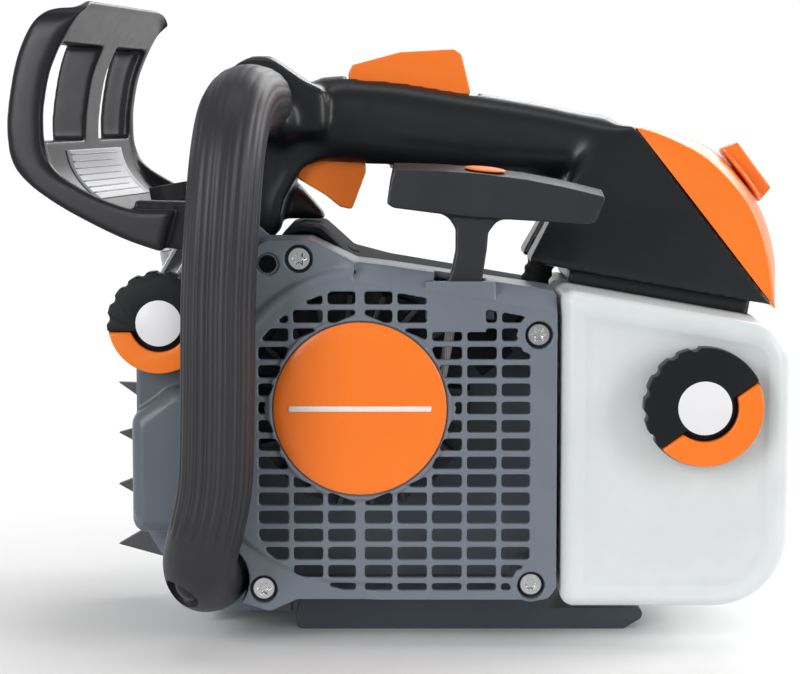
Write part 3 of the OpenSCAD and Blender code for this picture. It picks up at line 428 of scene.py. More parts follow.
def prism(corners, layers, steps=10):
    """An X-Z outline run along Y through layers of (y, inset)."""
    rings = []
    for y, inset in layers:
        rings.append([(x, y, z) for x, z in rounded_polygon(corners, inset, steps)])
    return loft(rings)


def quarter_round(y, y_dir, radius, steps=5):
    """Layers of a rounded border from the face at y to the full outline, radius further in."""
    turns = [math.pi / 2 * k / steps for k in range(steps + 1)]
    return [(y + y_dir * radius * (1 - math.cos(t)), radius * (1 - math.sin(t))) for t in turns]


def turned(profile, centre, steps=64, axis_y=True):
    """A profile of (radius, y) turned about an axis along Y through centre (x, z)."""
    bm = bmesh.new()
    rows = []
    for radius, y in profile:
        if radius < 1e-6:
            rows.append([bm.verts.new((centre[0] * MM, y * MM, centre[1] * MM))])
            continue
        row = []
        for k in range(steps):
            a = 2 * math.pi * k / steps
            row.append(bm.verts.new(((centre[0] + radius * math.cos(a)) * MM, y * MM,
                                     (centre[1] + radius * math.sin(a)) * MM)))
        rows.append(row)
    for a, b in zip(rows, rows[1:]):
        for k in range(steps):
            j = (k + 1) % steps
            if len(a) == 1:
                bm.faces.new((a[0], b[j], b[k]))
            elif len(b) == 1:
                bm.faces.new((a[k], a[j], b[0]))
            else:
                bm.faces.new((a[k], a[j], b[j], b[k]))
    return bm


def curve_through(points, steps):
    """Catmull-Rom curve through the points."""
    pts = [Vector(p) for p in points]
    out = []
    for i in range(len(pts) - 1):
        a, b = pts[max(i - 1, 0)], pts[i]
        c, d = pts[i + 1], pts[min(i + 2, len(pts) - 1)]
        for s in range(steps):
            t = s / steps
            out.append(0.5 * (2 * b + (c - a) * t + (2 * a - 5 * b + 4 * c - d) * t * t
                              + (3 * b - a - 3 * c + d) * t ** 3))
    out.append(pts[-1])
    return out


def tube(points, radius, sides, start_normal=(1, 0, 0)):
    """Rings round a path. radius is a function of (share of the path, angle)."""
    rings, normal = [], Vector(start_normal)
    for i, p in enumerate(points):
        along = (points[min(i + 1, len(points) - 1)] - points[max(i - 1, 0)]).normalized()
        normal = (normal - along * normal.dot(along)).normalized()
        side = along.cross(normal)
        share = i / (len(points) - 1)
        ring = []
        for k in range(sides):
            a = 2 * math.pi * k / sides
            ring.append(p + (normal * math.cos(a) + side * math.sin(a)) * radius(share, a))
        rings.append(ring)
    return rings


def cut(mesh, *tools, sharp=None):
    """The mesh with tools taken away from it."""
    steps, temps = [], []
    for tool in tools:
        temp = bpy.data.objects.new("cutter", tool)
        bpy.context.scene.collection.objects.link(temp)
        temp.hide_render = True
        temps.append(temp)
        steps.append(("BOOLEAN", {"operation": "DIFFERENCE", "object": temp, "solver": "EXACT"}))
    bpy.context.view_layer.update()
    result = modified(mesh, *steps, sharp=sharp)
    for temp in temps:
        bpy.data.objects.remove(temp)
    return result


def common(mesh, tool, sharp=None):
    """The space that both meshes fill."""
    temp = bpy.data.objects.new("tool", tool)
    bpy.context.scene.collection.objects.link(temp)
    bpy.context.view_layer.update()
    result = modified(mesh, ("BOOLEAN", {"operation": "INTERSECT", "object": temp, "solver": "EXACT"}), sharp=sharp)
    bpy.data.objects.remove(temp)
    return result


def centre_of(node):
    low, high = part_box(node)
    return (low + high) / 2 / MM


def line_xz(points, steps):
    """Smooth X-Z curve through the points."""
    return [(p.x, p.z) for p in curve_through([(x, 0, z) for x, z in points], steps)]


def extruded(outline, y0, y1):
    """Closed X-Z outline run from y0 to y1, in millimetres."""
    bm = bmesh.new()
    ends = [bm.faces.new([bm.verts.new((x * MM, y * MM, z * MM)) for x, z in outline]) for y in (y0, y1)]
    front, back = (list(face.verts) for face in ends)
    for k in range(len(front)):
        j = (k + 1) % len(front)
        bm.faces.new((front[k], front[j], back[j], back[k]))
    bm.normal_update()
    bmesh.ops.triangulate(bm, faces=ends, ngon_method="BEAUTY")
    bmesh.ops.recalc_face_normals(bm, faces=bm.faces)
    return mesh_of(bm)


def box(low, high, frame=Matrix()):
    bm = bmesh.new()
    bmesh.ops.create_cube(bm, size=1)
    size = [(b - a) * MM for a, b in zip(low, high)]
    middle = Vector([(a + b) / 2 * MM for a, b in zip(low, high)])
    bmesh.ops.transform(bm, matrix=frame @ Matrix.Translation(middle) @ Matrix.Diagonal((*size, 1)), verts=bm.verts)
    return mesh_of(bm)


def rod(x, z, radius, y0, y1, steps=48):
    return extruded([(x + radius * math.cos(2 * math.pi * k / steps), z + radius * math.sin(2 * math.pi * k / steps))
                     for k in range(steps)], y0, y1)


def ball(centre, radii, frame=Matrix()):
    bm = bmesh.new()
    bmesh.ops.create_icosphere(bm, subdivisions=4, radius=1)
    place = Matrix.Translation(Vector(centre) * MM) @ frame @ Matrix.Diagonal((*[r * MM for r in radii], 1))
    bmesh.ops.transform(bm, matrix=place, verts=bm.verts)
    return mesh_of(bm)


def joined(parts):
    bm = bmesh.new()
    for part in parts:
        bm.from_mesh(part)
    return mesh_of(bm)


def fused(parts, voxel, passes):
    """One relaxed skin round all the parts, as if they were moulded together."""
    return modified(joined(parts), ("REMESH", {"mode": "VOXEL", "voxel_size": voxel * MM}),
                    ("SMOOTH", {"factor": 0.5, "iterations": passes}))


def moved(mesh, change):
    """Moves every vertex of a mesh by a function of its (x, y, z) in millimetres."""
    flat = np.empty(len(mesh.vertices) * 3, dtype=np.float32)
    mesh.vertices.foreach_get("co", flat)
    points = flat.reshape(-1, 3).astype(float) / MM
    mesh.vertices.foreach_set("co", (change(points) * MM).astype(np.float32).ravel())
    mesh.update()
    return mesh


def relaxed(mesh, where, rounds):
    """Laplacian smoothing that acts only as far as where(points) says, from 0 to 1."""
    flat = np.empty(len(mesh.vertices) * 3, dtype=np.float32)
    mesh.vertices.foreach_get("co", flat)
    points = flat.reshape(-1, 3).astype(float) / MM
    edges = np.empty(len(mesh.edges) * 2, dtype=np.int32)
    mesh.edges.foreach_get("vertices", edges)
    edges = edges.reshape(-1, 2)
    count = np.bincount(edges.ravel(), minlength=len(points)).clip(1)[:, None]
    weight = where(points)[:, None]
    for _ in range(rounds):
        total = np.zeros_like(points)
        np.add.at(total, edges[:, 0], points[edges[:, 1]])
        np.add.at(total, edges[:, 1], points[edges[:, 0]])
        points = points + weight * 0.6 * (total / count - points)
    mesh.vertices.foreach_set("co", (points * MM).astype(np.float32).ravel())
    mesh.update()
    return mesh


def step(low, high, values):
    """Smooth rise from 0 to 1 as the values go from low to high."""
    t = np.clip((values - low) / (high - low), 0, 1)
    return t * t * (3 - 2 * t)


def copy_of(node):
    return mesh_of(cad_bmesh(node))


# ---------------------------------------------------------------- front handle
GRIP_PATH = [(-66, -50.2, 24), (-67.5, -60, 23.6), (-69.5, -73, 26.5), (-69.5, -84, 34), (-66.5, -90, 46),
             (-63.5, -91.5, 62), (-62.5, -92, 90), (-62, -92, 124), (-60.5, -91.5, 152), (-59, -88, 172),
             (-57.4, -79.5, 185), (-55.6, -68, 190.8), (-53.9, -55, 192.5), (-52.26, -21, 192.5)]
TUBE_END = [(-51.5, -2, 192.5), (-49.98, 36, 192.5)]
GRIP_RADIUS = 13
RIBS = 20
RIB_DEPTH = 0.75
HOLE = (-76.5, -85.5, 20.5)


def make_front_handle(mats):
    path = curve_through(GRIP_PATH, 9)

    def ribbed(share, angle):
        start = min(1, max(0, (share - 0.29) / 0.02))
        fade = 1 - 0.8 * min(1, max(0, (share - 0.55) / 0.2))
        groove = (0.5 + 0.5 * math.cos(RIBS * angle)) ** 2.2
        flute = 0.12 * math.sin(7 * angle + 1) * start
        return GRIP_RADIUS - 0.12 - RIB_DEPTH * groove * start * fade + flute * fade

    rings = tube(path, ribbed, RIBS * 8)
    for end, inner, shrink in ((0, 1, 0.80), (-1, -2, 0.93)):
        centre = sum(rings[end], Vector()) / len(rings[end])
        out = (rings[end][0] - rings[inner][0]).normalized() * 0.5
        cap = [centre + (p - centre) * shrink + out for p in rings[end]]
        rings = [cap] + rings if end == 0 else rings + [cap]
    sleeve = mesh_of(loft(rings), sharp=60)
    turn = Matrix.Rotation(math.radians(-25), 4, "Y")
    sleeve = cut(sleeve, ball(HOLE, (6.2, 10, 7.6), turn), sharp=50)
    piece("handlebar_sleeve", sleeve, "powerhead", mats["rubber"], ("handlebar_grip",))
    # A black ball fills the hole in the sleeve so that it reads dark: painted shade standing in for the hollow tube
    # end.
    piece("sleeve_hole_shade", ball((-73.2, -80.6, 24.8), (5.4, 6.4, 6.4), turn), "powerhead", mats["black"], ())

    bare = curve_through(GRIP_PATH + TUBE_END, 5)
    pipe = loft(tube(bare, lambda share, a: 8.9, 40))
    piece("handlebar_pipe", mesh_of(pipe), "powerhead", mats["black"], ("handlebar",))


# ---------------------------------------------------------------- top handle
# Sections of the handle: x, middle height, half height, half width.
HANDLE_SECTIONS = [(-38, 184.5, 8, 7.5), (-36.8, 184.6, 12, 10.5), (-34, 184.8, 14.6, 13), (-29, 185.2, 16.2, 15),
                   (-20, 185.3, 16.8, 16), (0, 184.0, 16.4, 16.3), (20, 181.6, 15.4, 16.5), (40, 179.4, 14.4, 16.7),
                   (56, 177.8, 13.2, 17), (70, 176.0, 12.2, 18), (80, 175.2, 11.8, 19)]
POST_RIBS = [[(-57.6, -12.6, 145), (-58.4, -12.6, 160), (-57.5, -12.6, 176)],
             [(-47.5, -12.6, 144), (-45.5, -12.6, 156), (-39.5, -12.6, 167)]]

# Where the handle housing stands over the tank, and how its floor slopes.
SEAT = (56, 0, 129.2)
SEAT_SLOPE = math.atan2(10, 57)


def section_loft(sections, power=2.7, sides=64):
    rings = []
    for x, z, half_height, half_width in sections:
        ring = []
        for k in range(sides):
            a = 2 * math.pi * k / sides
            c, s = math.cos(a), math.sin(a)
            ring.append((x, half_width * math.copysign(abs(c) ** (2 / power), c),
                         z + half_height * math.copysign(abs(s) ** (2 / power), s)))
        rings.append(ring)
    return mesh_of(loft(rings))


def make_top_handle(mats):
    wells = [box((-40, -7.5, 160), (-4, 7.5, 185)), box((-20, -8, 184.8), (29, 8, 215)),
             box((-30.4, 13.2, 182), (-15.4, 17, 215))]
    grip = cut(section_loft(HANDLE_SECTIONS), *wells)
    lobe = ball((-43.5, -15, 185.5), (6.5, 10.5, 9.5))
    collar = ball((-40, 0, 186), (9, 17, 14))
    ribs = [mesh_of(loft(tube([Vector(p) for p in line], lambda share, a: 1.7, 16))) for line in POST_RIBS]
    seat = Matrix.Translation(Vector(SEAT) * MM) @ Matrix.Rotation(SEAT_SLOPE, 4, "Y")
    skirt = box((6, -31, -1.9), (72, 31, 3.8), seat)
    skin = fused([copy_of("top_handle"), grip, lobe, skirt, cut(collar, *wells), *ribs], 0.9, 3)

    def soft(points):
        x, y, z = points.T
        joint = step(56, 64, x) * (1 - step(80, 90, x)) * step(160, 168, z)
        collar_zone = step(-60, -52, x) * (1 - step(-20, -12, x)) * step(166, 172, z) * step(9, 11, np.abs(y))
        post = (1 - step(-34, -24, x)) * (1 - step(176, 186, z)) * 0.5
        return np.maximum.reduce([joint, collar_zone * 0.9, post]) * (1 - 0.95 * near_wells(points))

    def near_wells(points):
        x, y, z = points.T
        trigger = (np.abs(y) < 8.8) & (x > -42) & (x < -2) & (z < 187)
        lock = (np.abs(y) < 9.6) & (x > -22) & (x < 31) & (z > 183)
        return (trigger | lock).astype(float)

    relaxed(skin, soft, 44)
    piece("top_handle_body", skin, "powerhead", mats["black"], ("top_handle",))


# ---------------------------------------------------------------- filter cover
# Along the joint: distance, crest height in the middle, height at the sides, half width.
COVER_SECTIONS = [(-39.4, 0.8, 0.6, 15.5), (-38, 2.6, 2.0, 16.2), (-34, 6.4, 5.0, 17.6), (-27, 12.3, 9.0, 20.0),
                  (-17.5, 18.3, 13.2, 23.0), (-8, 20.6, 15.2, 25.6), (4, 21.0, 15.9, 28.4), (12, 20.4, 14.9, 30.2),
                  (20, 18.3, 12.4, 31.8), (28, 14.9, 8.8, 33.0), (34, 11.2, 5.4, 33.8), (39, 6.6, 2.5, 34.3),
                  (41.6, 2.6, 0.9, 34.4), (42.3, 0.8, 0.5, 34.2)]
COVER_PLANE = (111.15, 0, 150.8)
COVER_TURN = 52.97


def cover_frame():
    return Matrix.Translation(Vector(COVER_PLANE) * MM) @ Matrix.Rotation(math.radians(COVER_TURN), 4, "Y")


def make_filter_cover(mats):
    path = curve_through([(x, crest, side) for x, crest, side, width in COVER_SECTIONS], 4)
    widths = curve_through([(x, width, 0) for x, crest, side, width in COVER_SECTIONS], 4)
    edge = 1.3
    rings = []
    for (x, crest, side), (_, width, _) in zip(path, widths):
        r = min(edge, side * 0.5)
        half = [(width, 0.25), (width, max(side - r, 0.3))]
        half += [(width - r * (1 - math.cos(t)), side - r + r * math.sin(t)) for t in (0.4, 0.8, 1.2)]
        for v in (0.95, 0.88, 0.76, 0.6, 0.42, 0.22, 0.0):
            half.append(((width - r) * v, side + (crest - side) * (1 - v ** 2.3)))
        ring = [(x, -y, z) for y, z in half] + [(x, y, z) for y, z in half[-2::-1]]
        rings.append(ring)
    bm = loft(rings)
    bmesh.ops.transform(bm, matrix=cover_frame(), verts=bm.verts)
    piece("filter_cover_body", mesh_of(bm, sharp=50), "powerhead", mats["orange"], ("filter_cover",))
    refined("cover_knob", "knob", mats["orange"], 0.8, 3)


def make_controls(mats):
    moulded("throttle_trigger", "trigger", mats["amber"], 0.5, 5)
    moulded("throttle_interlock", "interlock", mats["orange"], 0.5, 6)
    refined("control_lever", "lever", mats["dark"], 0.4)


# ---------------------------------------------------------------- hand guard
GUARD_FRONT = [(-106, 227.0), (-111.5, 226.9), (-118, 222.9), (-122.8, 216.4), (-127.1, 205.3), (-129.9, 190.3),
               (-130.3, 180.8), (-129.3, 172.8), (-125.6, 166.2), (-115.8, 158.4), (-103.5, 151.3), (-87.7, 143.9),
               (-74, 139.4)]
GUARD_REAR = [(-100.5, 226.8), (-103.0, 223.4), (-107.0, 217.8), (-110.8, 210.5), (-114.4, 201.5), (-116.5, 190.3),
              (-116.8, 185.4), (-116.2, 175.5), (-111.8, 167.2), (-97.4, 158.6), (-82.3, 153.9), (-70, 154)]
# The skin lies flush with the bands above, and sinks between them lower down.
GUARD_SKIN = [*GUARD_REAR[:6], (-117.2, 182), (-117.0, 175.5), (-114.6, 167.5), (-109.2, 160.2), (-101.5, 154.8),
              (-91, 149.6), (-80, 146.6)]
GUARD_HALF = 62
GUARD_TURN = 9
PIVOT = (-68, 148)


def guard_frame():
    there = Matrix.Translation(Vector((-112, 3, 0)) * MM)
    back = Matrix.Translation(Vector((112, 0, 0)) * MM)
    return there @ Matrix.Rotation(math.radians(-GUARD_TURN), 4, "Z") @ back


def in_guard_frame(mesh):
    mesh.transform(guard_frame())
    return mesh


def make_guard(mats):
    front, rear, outside = (line_xz(points, 5) for points in (GUARD_FRONT, GUARD_REAR, GUARD_SKIN))
    inner = []
    for k, (x, z) in enumerate(outside):
        (ax, az), (bx, bz) = outside[max(k - 1, 0)], outside[min(k + 1, len(outside) - 1)]
        normal = Vector((bz - az, ax - bx)).normalized()
        inner.append((x + normal.x * 3.2, z + normal.y * 3.2))
    band = front + rear[::-1]
    slab = extruded(front + outside[::-1], -GUARD_HALF, GUARD_HALF)
    windows = [box((-150, y0, 178), (-90, y1, 213)) for y0, y1 in ((-GUARD_HALF + 4.5, -6.5), (12.5, GUARD_HALF - 7))]
    opening = extruded([(-98, 140), (-92, 172), (-50, 172), (-50, 130)], -38, 46)
    skin = cut(extruded(outside + inner[::-1], -GUARD_HALF + 1, GUARD_HALF - 1), *windows, opening)
    ribs = [box((-140, -GUARD_HALF, 213), (-80, GUARD_HALF, 216.5)), box((-140, -6.5, 176), (-80, -2.5, 216)),
            box((-140, 8.5, 176), (-80, 12.5, 216)), box((-140, -GUARD_HALF, 174.5), (-80, GUARD_HALF, 178))]
    sides = [extruded(band, -GUARD_HALF, -GUARD_HALF + 5), extruded(band, GUARD_HALF - 5, GUARD_HALF)]
    back = guard_frame().inverted()
    parts = [skin, *[common(rib, slab) for rib in ribs], *sides]
    circle = [(PIVOT[0] + 9 * math.cos(t), PIVOT[1] + 9 * math.sin(t))
              for t in (2 * math.pi * k / 40 for k in range(40))]
    for y0, y1, arm in ((-59.6, -51.4, [(-68, 139.2), (-68, 156.9), (-94, 157.5), (-92, 144.5), (-82, 140.5)]),
                        (47.4, 55.6, [(-68, 139.2), (-67, 156.9), (-86, 160.5), (-90, 151)])):
        for outline in (circle, arm):
            parts.append(extruded(outline, y0, y1))
            parts[-1].transform(back)
    whole = fused(parts, 0.7, 14)

    def corners_off(points):
        """The two upper corners drawn in to round ones, seen along the saw."""
        for y, z, radius, way in ((45, 210.2, 17, 1), (-52.4, 217.7, 9, -1)):
            beyond = (way * (points[:, 1] - y) > 0) & (points[:, 2] > z)
            away = points[:, 1:] - np.array((y, z))
            far = np.maximum(np.linalg.norm(away, axis=1), 1e-6)
            shrink = np.where(beyond & (far > radius), radius / far, 1)
            points[:, 1:] = np.array((y, z)) + away * shrink[:, None]
        return points

    def rims(points):
        """The edges of the two side bands and the top edge, which are rounded more than the rest."""
        side = np.maximum(1 - step(-61, -52, points[:, 1]), 0.6 * step(54, 60, points[:, 1]))
        return np.maximum(side * step(160, 172, points[:, 2]), 0.7 * step(216, 222, points[:, 2]))

    moved(whole, corners_off)
    relaxed(whole, rims, 30)
    in_guard_frame(whole)
    whole = cut(whole, rod(*PIVOT, 3.96, -70, 70), box((-90, -51.2, 130), (-30, 47.2, 166)))
    piece("hand_guard_body", whole, "guard", mats["guard"], ("hand_guard",))
    make_label(mats)


def make_label(mats):
    """Plain film with pale printed rules, on the guard's rear face below the windows."""
    strip = [(x, z) for x, z in line_xz(GUARD_SKIN, 16) if 156.5 < z < 175 and x < -95]
    layers = [("guard_label", "label", 0.25, [(0, len(strip) - 1, -33, 40)])]
    rules = []
    for k in range(3, len(strip) - 4, 5):
        rules.append((k, k + 1, -29, 35 if k % 2 else 27))
    layers.append(("guard_label_rules", "ink", 0.33, rules))
    for name, material, height, fields in layers:
        bm = bmesh.new()
        for first, last, y0, y1 in fields:
            rows = []
            for k in range(first, last + 1):
                (ax, az), (bx, bz) = strip[max(k - 1, 0)], strip[min(k + 1, len(strip) - 1)]
                out = Vector((bz - az, -(bx - ax))).normalized()
                out = out if out.x > 0 else -out
                x, z = strip[k][0] + out.x * height, strip[k][1] + out.y * height
                rows.append([bm.verts.new((x * MM, (y0 + (y1 - y0) * j / 12) * MM, z * MM)) for j in range(13)])
            for a, b in zip(rows, rows[1:]):
                for j in range(12):
                    bm.faces.new((a[j], a[j + 1], b[j + 1], b[j]))
        film = modified(mesh_of(bm), ("SOLIDIFY", {"thickness": 0.12 * MM, "offset": 0}))
        piece(name, in_guard_frame(film), "guard", mats[material], ())


# ---------------------------------------------------------------- starter side
CRANK = (-14, 85)
COVER_FACE = -72
SHROUD_RADIUS = 48
GRIP_BAR = [(-2.3, 169.6), (12, 169.3), (28.1, 168.2), (44.5, 166.1), (58, 163.4), (71.9, 160.0), (71.6, 158.6),
            (69.0, 150.2), (66.4, 149.3), (52, 150.2), (35, 151.2), (24, 151.9), (12, 153.3), (-2.6, 155.2),
            (-4.6, 156.8), (-3.6, 164)]
GRIP_STEM = [(12.6, 154), (17.2, 151.4), (19.6, 147.6), (19.6, 140), (18.2, 133), (15.6, 127.0), (15.2, 122.5),
             (27.4, 120.4), (28.2, 125.1), (29.4, 133), (30.6, 141), (31.0, 146.4), (34.0, 150.2), (41, 152.5)]
GRIP_MIDDLE = -60.75
GRIP_BAR_HALF = 8.7
GRIP_STEM_HALF = 5.6


def make_grommet(mats):
    """Rubber lip round the starter's stem where it enters the cover."""
    bm = bmesh.new()
    rows = []
    for k in range(48):
        a = 2 * math.pi * k / 48
        spoke = Vector((math.cos(a), math.sin(a), 0))
        rows.append([spoke * (8.2 + 0.9 * math.cos(t)) + Vector((0, 0, 0.9 * math.sin(t)))
                     for t in (math.pi * j / 5 for j in range(10))])
    verts = [[bm.verts.new(p * MM) for p in row] for row in rows]
    for k in range(48):
        for j in range(10):
            a, b = verts[k], verts[(k + 1) % 48]
            bm.faces.new((a[j], b[j], b[(j + 1) % 10], a[(j + 1) % 10]))
    place = Matrix.Translation(Vector((20.9, GRIP_MIDDLE, 124.4)) * MM) @ Matrix.Rotation(math.radians(10), 4, "Y")
    bmesh.ops.transform(bm, matrix=place, verts=bm.verts)
    piece("rope_grommet", mesh_of(bm), "powerhead", mats["slate"], ())


def make_starter(mats):
    cover = fused([copy_of("fan_cover")], 0.5, 2)

    def recess(points):
        x, y, z = points.T
        from_crank = np.hypot(x - CRANK[0], z - CRANK[1])
        lug = step(SHROUD_RADIUS, SHROUD_RADIUS + 2.2, from_crank) * (1 - step(-24, -12, x)) * step(104, 112, z)
        foot = step(61, 63.5, from_crank) * (1 - step(-14, -6, x)) * (1 - step(40, 48, z))
        face = 1 - step(COVER_FACE + 0.9, COVER_FACE + 2.0, y)
        lip = np.exp(-((from_crank - SHROUD_RADIUS + 1.2) / 1.0) ** 2) * (1 - step(-24, -12, x)) * step(104, 112, z)
        out = points.copy()
        out[:, 1] += (np.maximum(lug * 1.7, foot * 1.1) - 0.25 * lip) * face
        return out

    moved(cover, recess)
    relaxed(cover, lambda p: step(-27, -20, p[:, 0]) * (1 - step(-12, -6, p[:, 0])) * step(126, 130, p[:, 2]), 10)
    piece("fan_cover_body", cover, "powerhead", mats["slate"], ("fan_cover",))

    low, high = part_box("cover_badge")
    face, radius = low.y / MM, (high.x - low.x) / 2 / MM
    dome = [(radius - 0.8, face + 1.1), (radius - 0.15, face + 0.9), (radius - 0.1, face + 0.3),
            (radius - 0.5, face + 0.02)]
    dome += [(r, face - 0.25 * (1 - (r / radius) ** 2)) for r in (26, 18, 9)] + [(0, face - 0.25)]
    piece("badge_disc", mesh_of(turned(dome, CRANK, 96)), "powerhead", mats["orange"], ("cover_badge",))
    x, z = CRANK
    bar = prism([(x - 25, z - 0.9, 0.4), (x + 25, z - 0.9, 0.4), (x + 25, z + 0.9, 0.4), (x - 25, z + 0.9, 0.4)],
                [(face - 0.33, 0.1), (face - 0.25, 0), (face + 0.3, 0)], 3)
    piece("badge_line", mesh_of(bar), "powerhead", mats["white"], ())

    grip = fused([extruded(outline, GRIP_MIDDLE - half, GRIP_MIDDLE + half)
                  for outline, half in ((GRIP_BAR, GRIP_BAR_HALF), (GRIP_STEM, GRIP_STEM_HALF))], 0.55, 7)

    def crown(points):
        x, y, z = points.T
        out = points.copy()
        top = step(157, 168, z + 0.14 * (x - 20))
        out[:, 2] += top * (y - GRIP_MIDDLE) * 0.13
        out[:, 1] = GRIP_MIDDLE + (y - GRIP_MIDDLE) * (1 - 0.18 * step(30, 75, x) - 0.10 * step(-5, -25, -x))
        return out

    moved(grip, crown)
    relaxed(grip, lambda points: (step(146, 151, points[:, 2]) * (1 - step(153, 157, points[:, 2]))), 14)
    piece("starter_grip_body", grip, "pull", mats["dark"], ("starter_grip",))
    lie = Matrix.Rotation(math.radians(5.5), 4, "Y") @ Matrix.Rotation(math.radians(7.4), 4, "X")
    inset = ball((30, GRIP_MIDDLE, 168.55), (7.3, 4.8, 0.75), lie)
    piece("starter_inset", inset, "pull", mats["amber"], ("starter_grip_insert",))


# ---------------------------------------------------------------- tanks and caps
TANK_CORNERS = [(56.5, 14.4, 5), (136.7, 14.4, 26), (136.7, 113.0, 15), (56.5, 127.2, 4)]
TANK_FRONT, TANK_BACK = -74, 30
OIL_CORNERS = [(-96.6, 37, 9), (-96.6, 79.5, 6), (-81.5, 89.8, 6), (-70, 89.8, 2), (-59.5, 79, 2), (-59.5, 37, 2)]


def make_tanks(mats):
    layers = [(TANK_FRONT + 0.6, 11.5), (TANK_FRONT + 0.6, 8.8), (TANK_FRONT + 0.15, 7.9), (TANK_FRONT, 7.2)]
    layers += quarter_round(TANK_FRONT, 1, 5.6)
    for y in (-22.8, -22.0, -21.2):
        layers.append((y, -0.6 if y == -22.0 else 0))
    layers += quarter_round(TANK_BACK, -1, 5.6)[::-1] + [(TANK_BACK, 12)]
    piece("fuel_tank_shell", mesh_of(prism(TANK_CORNERS, layers, 12), sharp=35), "powerhead", mats["tank"],
          ("fuel_tank",))
    layers = [(-53.6, 8.0), (-53.6, 7.4), (-54.0, 6.6)] + quarter_round(-54, 1, 5.4) + [(-15, 0), (-15, 4)]
    chest = mesh_of(prism(OIL_CORNERS, layers, 10))
    oil = fused([copy_of("oil_tank"), chest], 0.7, 3)
    piece("oil_tank_body", oil, "powerhead", mats["tub"], ("oil_tank",))
    for kind, body in (("fuel", "fuel_cap_body"), ("oil", "oil_cap_body")):
        refined(kind + "_cap", body, mats["cap"], 0.5, 3)
        bail = mats["orange" if kind == "fuel" else "amber"]
        refined(kind + "_cap_bail", kind + "_bail", bail, 0.6, 3)
        middle = centre_of(kind + "_cap")
        low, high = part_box(kind + "_cap")
        r = (high.x - low.x) / 2 / MM * 0.455
        face = low.y / MM
        disc = [(r, face + 0.9), (r, face + 0.15), (r - 0.35, face - 0.1), (0, face - 0.1)]
        piece(kind + "_cap_disc", mesh_of(turned(disc, (middle.x, middle.z))), body, mats["white"], ())


# ---------------------------------------------------------------- drive side
DRIVE_CORNERS = [(-94, 53, 6), (-86, 46.5, 6), (-30.5, 46.5, 6), (1.5, 51, 6), (21.6, 68, 7), (23.4, 102.5, 7),
                 (9.8, 117.6, 7), (-20.5, 122.2, 7), (-62.8, 114.4, 7), (-94, 100.5, 6)]
DRIVE_FACE = 76

# The deck's hump in (x, z), and the intake boot's middle line from the cylinder to the carburetor.
HUMP = [(-45, 134), (-44.2, 141.5), (-41.2, 145.6), (-36, 146.8), (-29.2, 145.9), (-24.2, 141.4), (-18, 135.4),
        (-16, 132)]
BOOT_PATH = [(-39.9, 0, 128.1), (-37, 0, 131.6), (-31.5, 0, 133.4), (-23, 0, 129.5), (-13, 0, 123.8), (0, 0, 119),
             (16, 0, 115), (29, 0, 113.6), (38, 0, 113.8), (45, 0, 116.4), (49.6, 0, 121.5), (52.4, 0, 128.5),
             (54.8, 0, 136), (57.6, 0, 143.4), (60.4, 0, 147.4), (62.6, 0, 148.4)]


def make_deck(mats):
    """Engine deck with its hump closed at the near end, and the intake boot's bellows."""
    def bellows(share, a):
        neck = step(0.45, 0.62, share) * (1 - step(0.92, 1, share))
        return 7.5 - 2.3 * neck + 0.35 * neck * math.cos(2 * math.pi * 30 * share)

    boot = mesh_of(loft(tube(curve_through(BOOT_PATH, 10), bellows, 28)))
    piece("intake_bellows", boot, "powerhead", mats["soft"], ("intake_boot",))
    end = extruded(line_xz(HUMP, 4), -27.8, -25.6)
    skin = fused([copy_of("cylinder_shroud"), end], 0.6, 9)
    piece("engine_deck", skin, "powerhead", mats["deck"], ("cylinder_shroud",))


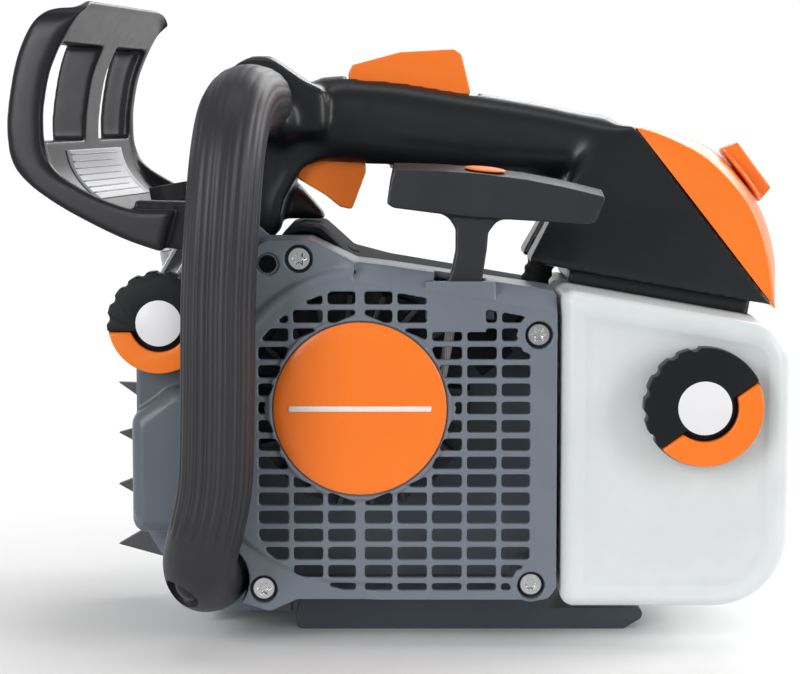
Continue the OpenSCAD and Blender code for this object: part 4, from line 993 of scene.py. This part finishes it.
def make_drive_side(mats):
    """Clutch cover with a raised rim, a sunk panel and cooling ribs on it."""
    panel = mesh_of(prism(DRIVE_CORNERS, [(DRIVE_FACE - 1.3, 0), (DRIVE_FACE + 2, -0.8)], 8))
    nut = rod(-70, 75, 20.5, 60, 90, 64)
    louvres = [box((-38 + 11 * k, 70, 58 + 1.5 * k), (-34 + 11 * k, 90, 110 - 1.5 * k)) for k in range(5)]
    cover = fused([cut(copy_of("sprocket_cover"), cut(panel, nut, *louvres))], 0.7, 3)
    piece("sprocket_cover_body", cover, "powerhead", mats["slate"], ("sprocket_cover",))
    low, high = (Vector(corner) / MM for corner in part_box("muffler"))
    beads = [box((low.x + 0.2, low.y + 5, z - 1.2), (low.x + 3, high.y - 5, z + 1.2))
             for z in (low.z + share * (high.z - low.z) for share in (0.22, 0.5, 0.78))]
    shell = modified(cut(copy_of("muffler"), *beads), ("REMESH", {"mode": "VOXEL", "voxel_size": 0.6 * MM}),
                     ("SMOOTH", {"factor": 0.5, "iterations": 4}))
    piece("muffler_body", shell, "powerhead", mats["soot"], ("muffler",))


# ---------------------------------------------------------------- everything else, from the CAD nodes
CAD_FINISH = {
    "slate": ["crankcase_left", "crankcase_right"],
    "base": ["base_plate"],
    "deck": ["ignition_module", "rope_rotor"],
    "alu": ["cylinder", "piston", "carburetor", "oil_pump"],
    "dull": ["flywheel"],
    "steel": ["main_bearings", "crankshaft", "connecting_rod", "clutch", "clutch_drum", "spark_plug", "bar_stud",
              "tensioner_screw", "tensioner_pin", "cover_screws", "throttle_link"],
    "zinc": ["recoil_spring", "brake_band", "brake_lever", "side_plate", "bar_nut", "handlebar_screws"],
    "spikes": ["bumper_spike"],
    "soft": ["ignition_lead", "oil_pickup", "fuel_pickup", "av_mounts", "oil_cap_seal", "fuel_cap_seal"],
    "felt": ["air_filter"],
    "rope": ["starter_rope", "rope_coil"],
}


def finish_cad(mats):
    for finish, names in CAD_FINISH.items():
        for name in names:
            obj = nodes[name]
            obj.data.materials.clear()
            obj.data.materials.append(mats[finish])
            weld = obj.modifiers.new("weld", "WELD")
            weld.merge_threshold = 2e-6
            kind, settings = bevel_step(0.3)
            bevel = obj.modifiers.new("bevel", kind)
            for key, value in settings.items():
                setattr(bevel, key, value)


# ---------------------------------------------------------------- the scene
materials = make_materials()
make_camera()
make_studio()
make_front_handle(materials)
make_top_handle(materials)
make_filter_cover(materials)
make_controls(materials)
make_guard(materials)
make_starter(materials)
make_grommet(materials)
make_deck(materials)
make_drive_side(materials)
make_tanks(materials)
finish_cad(materials)
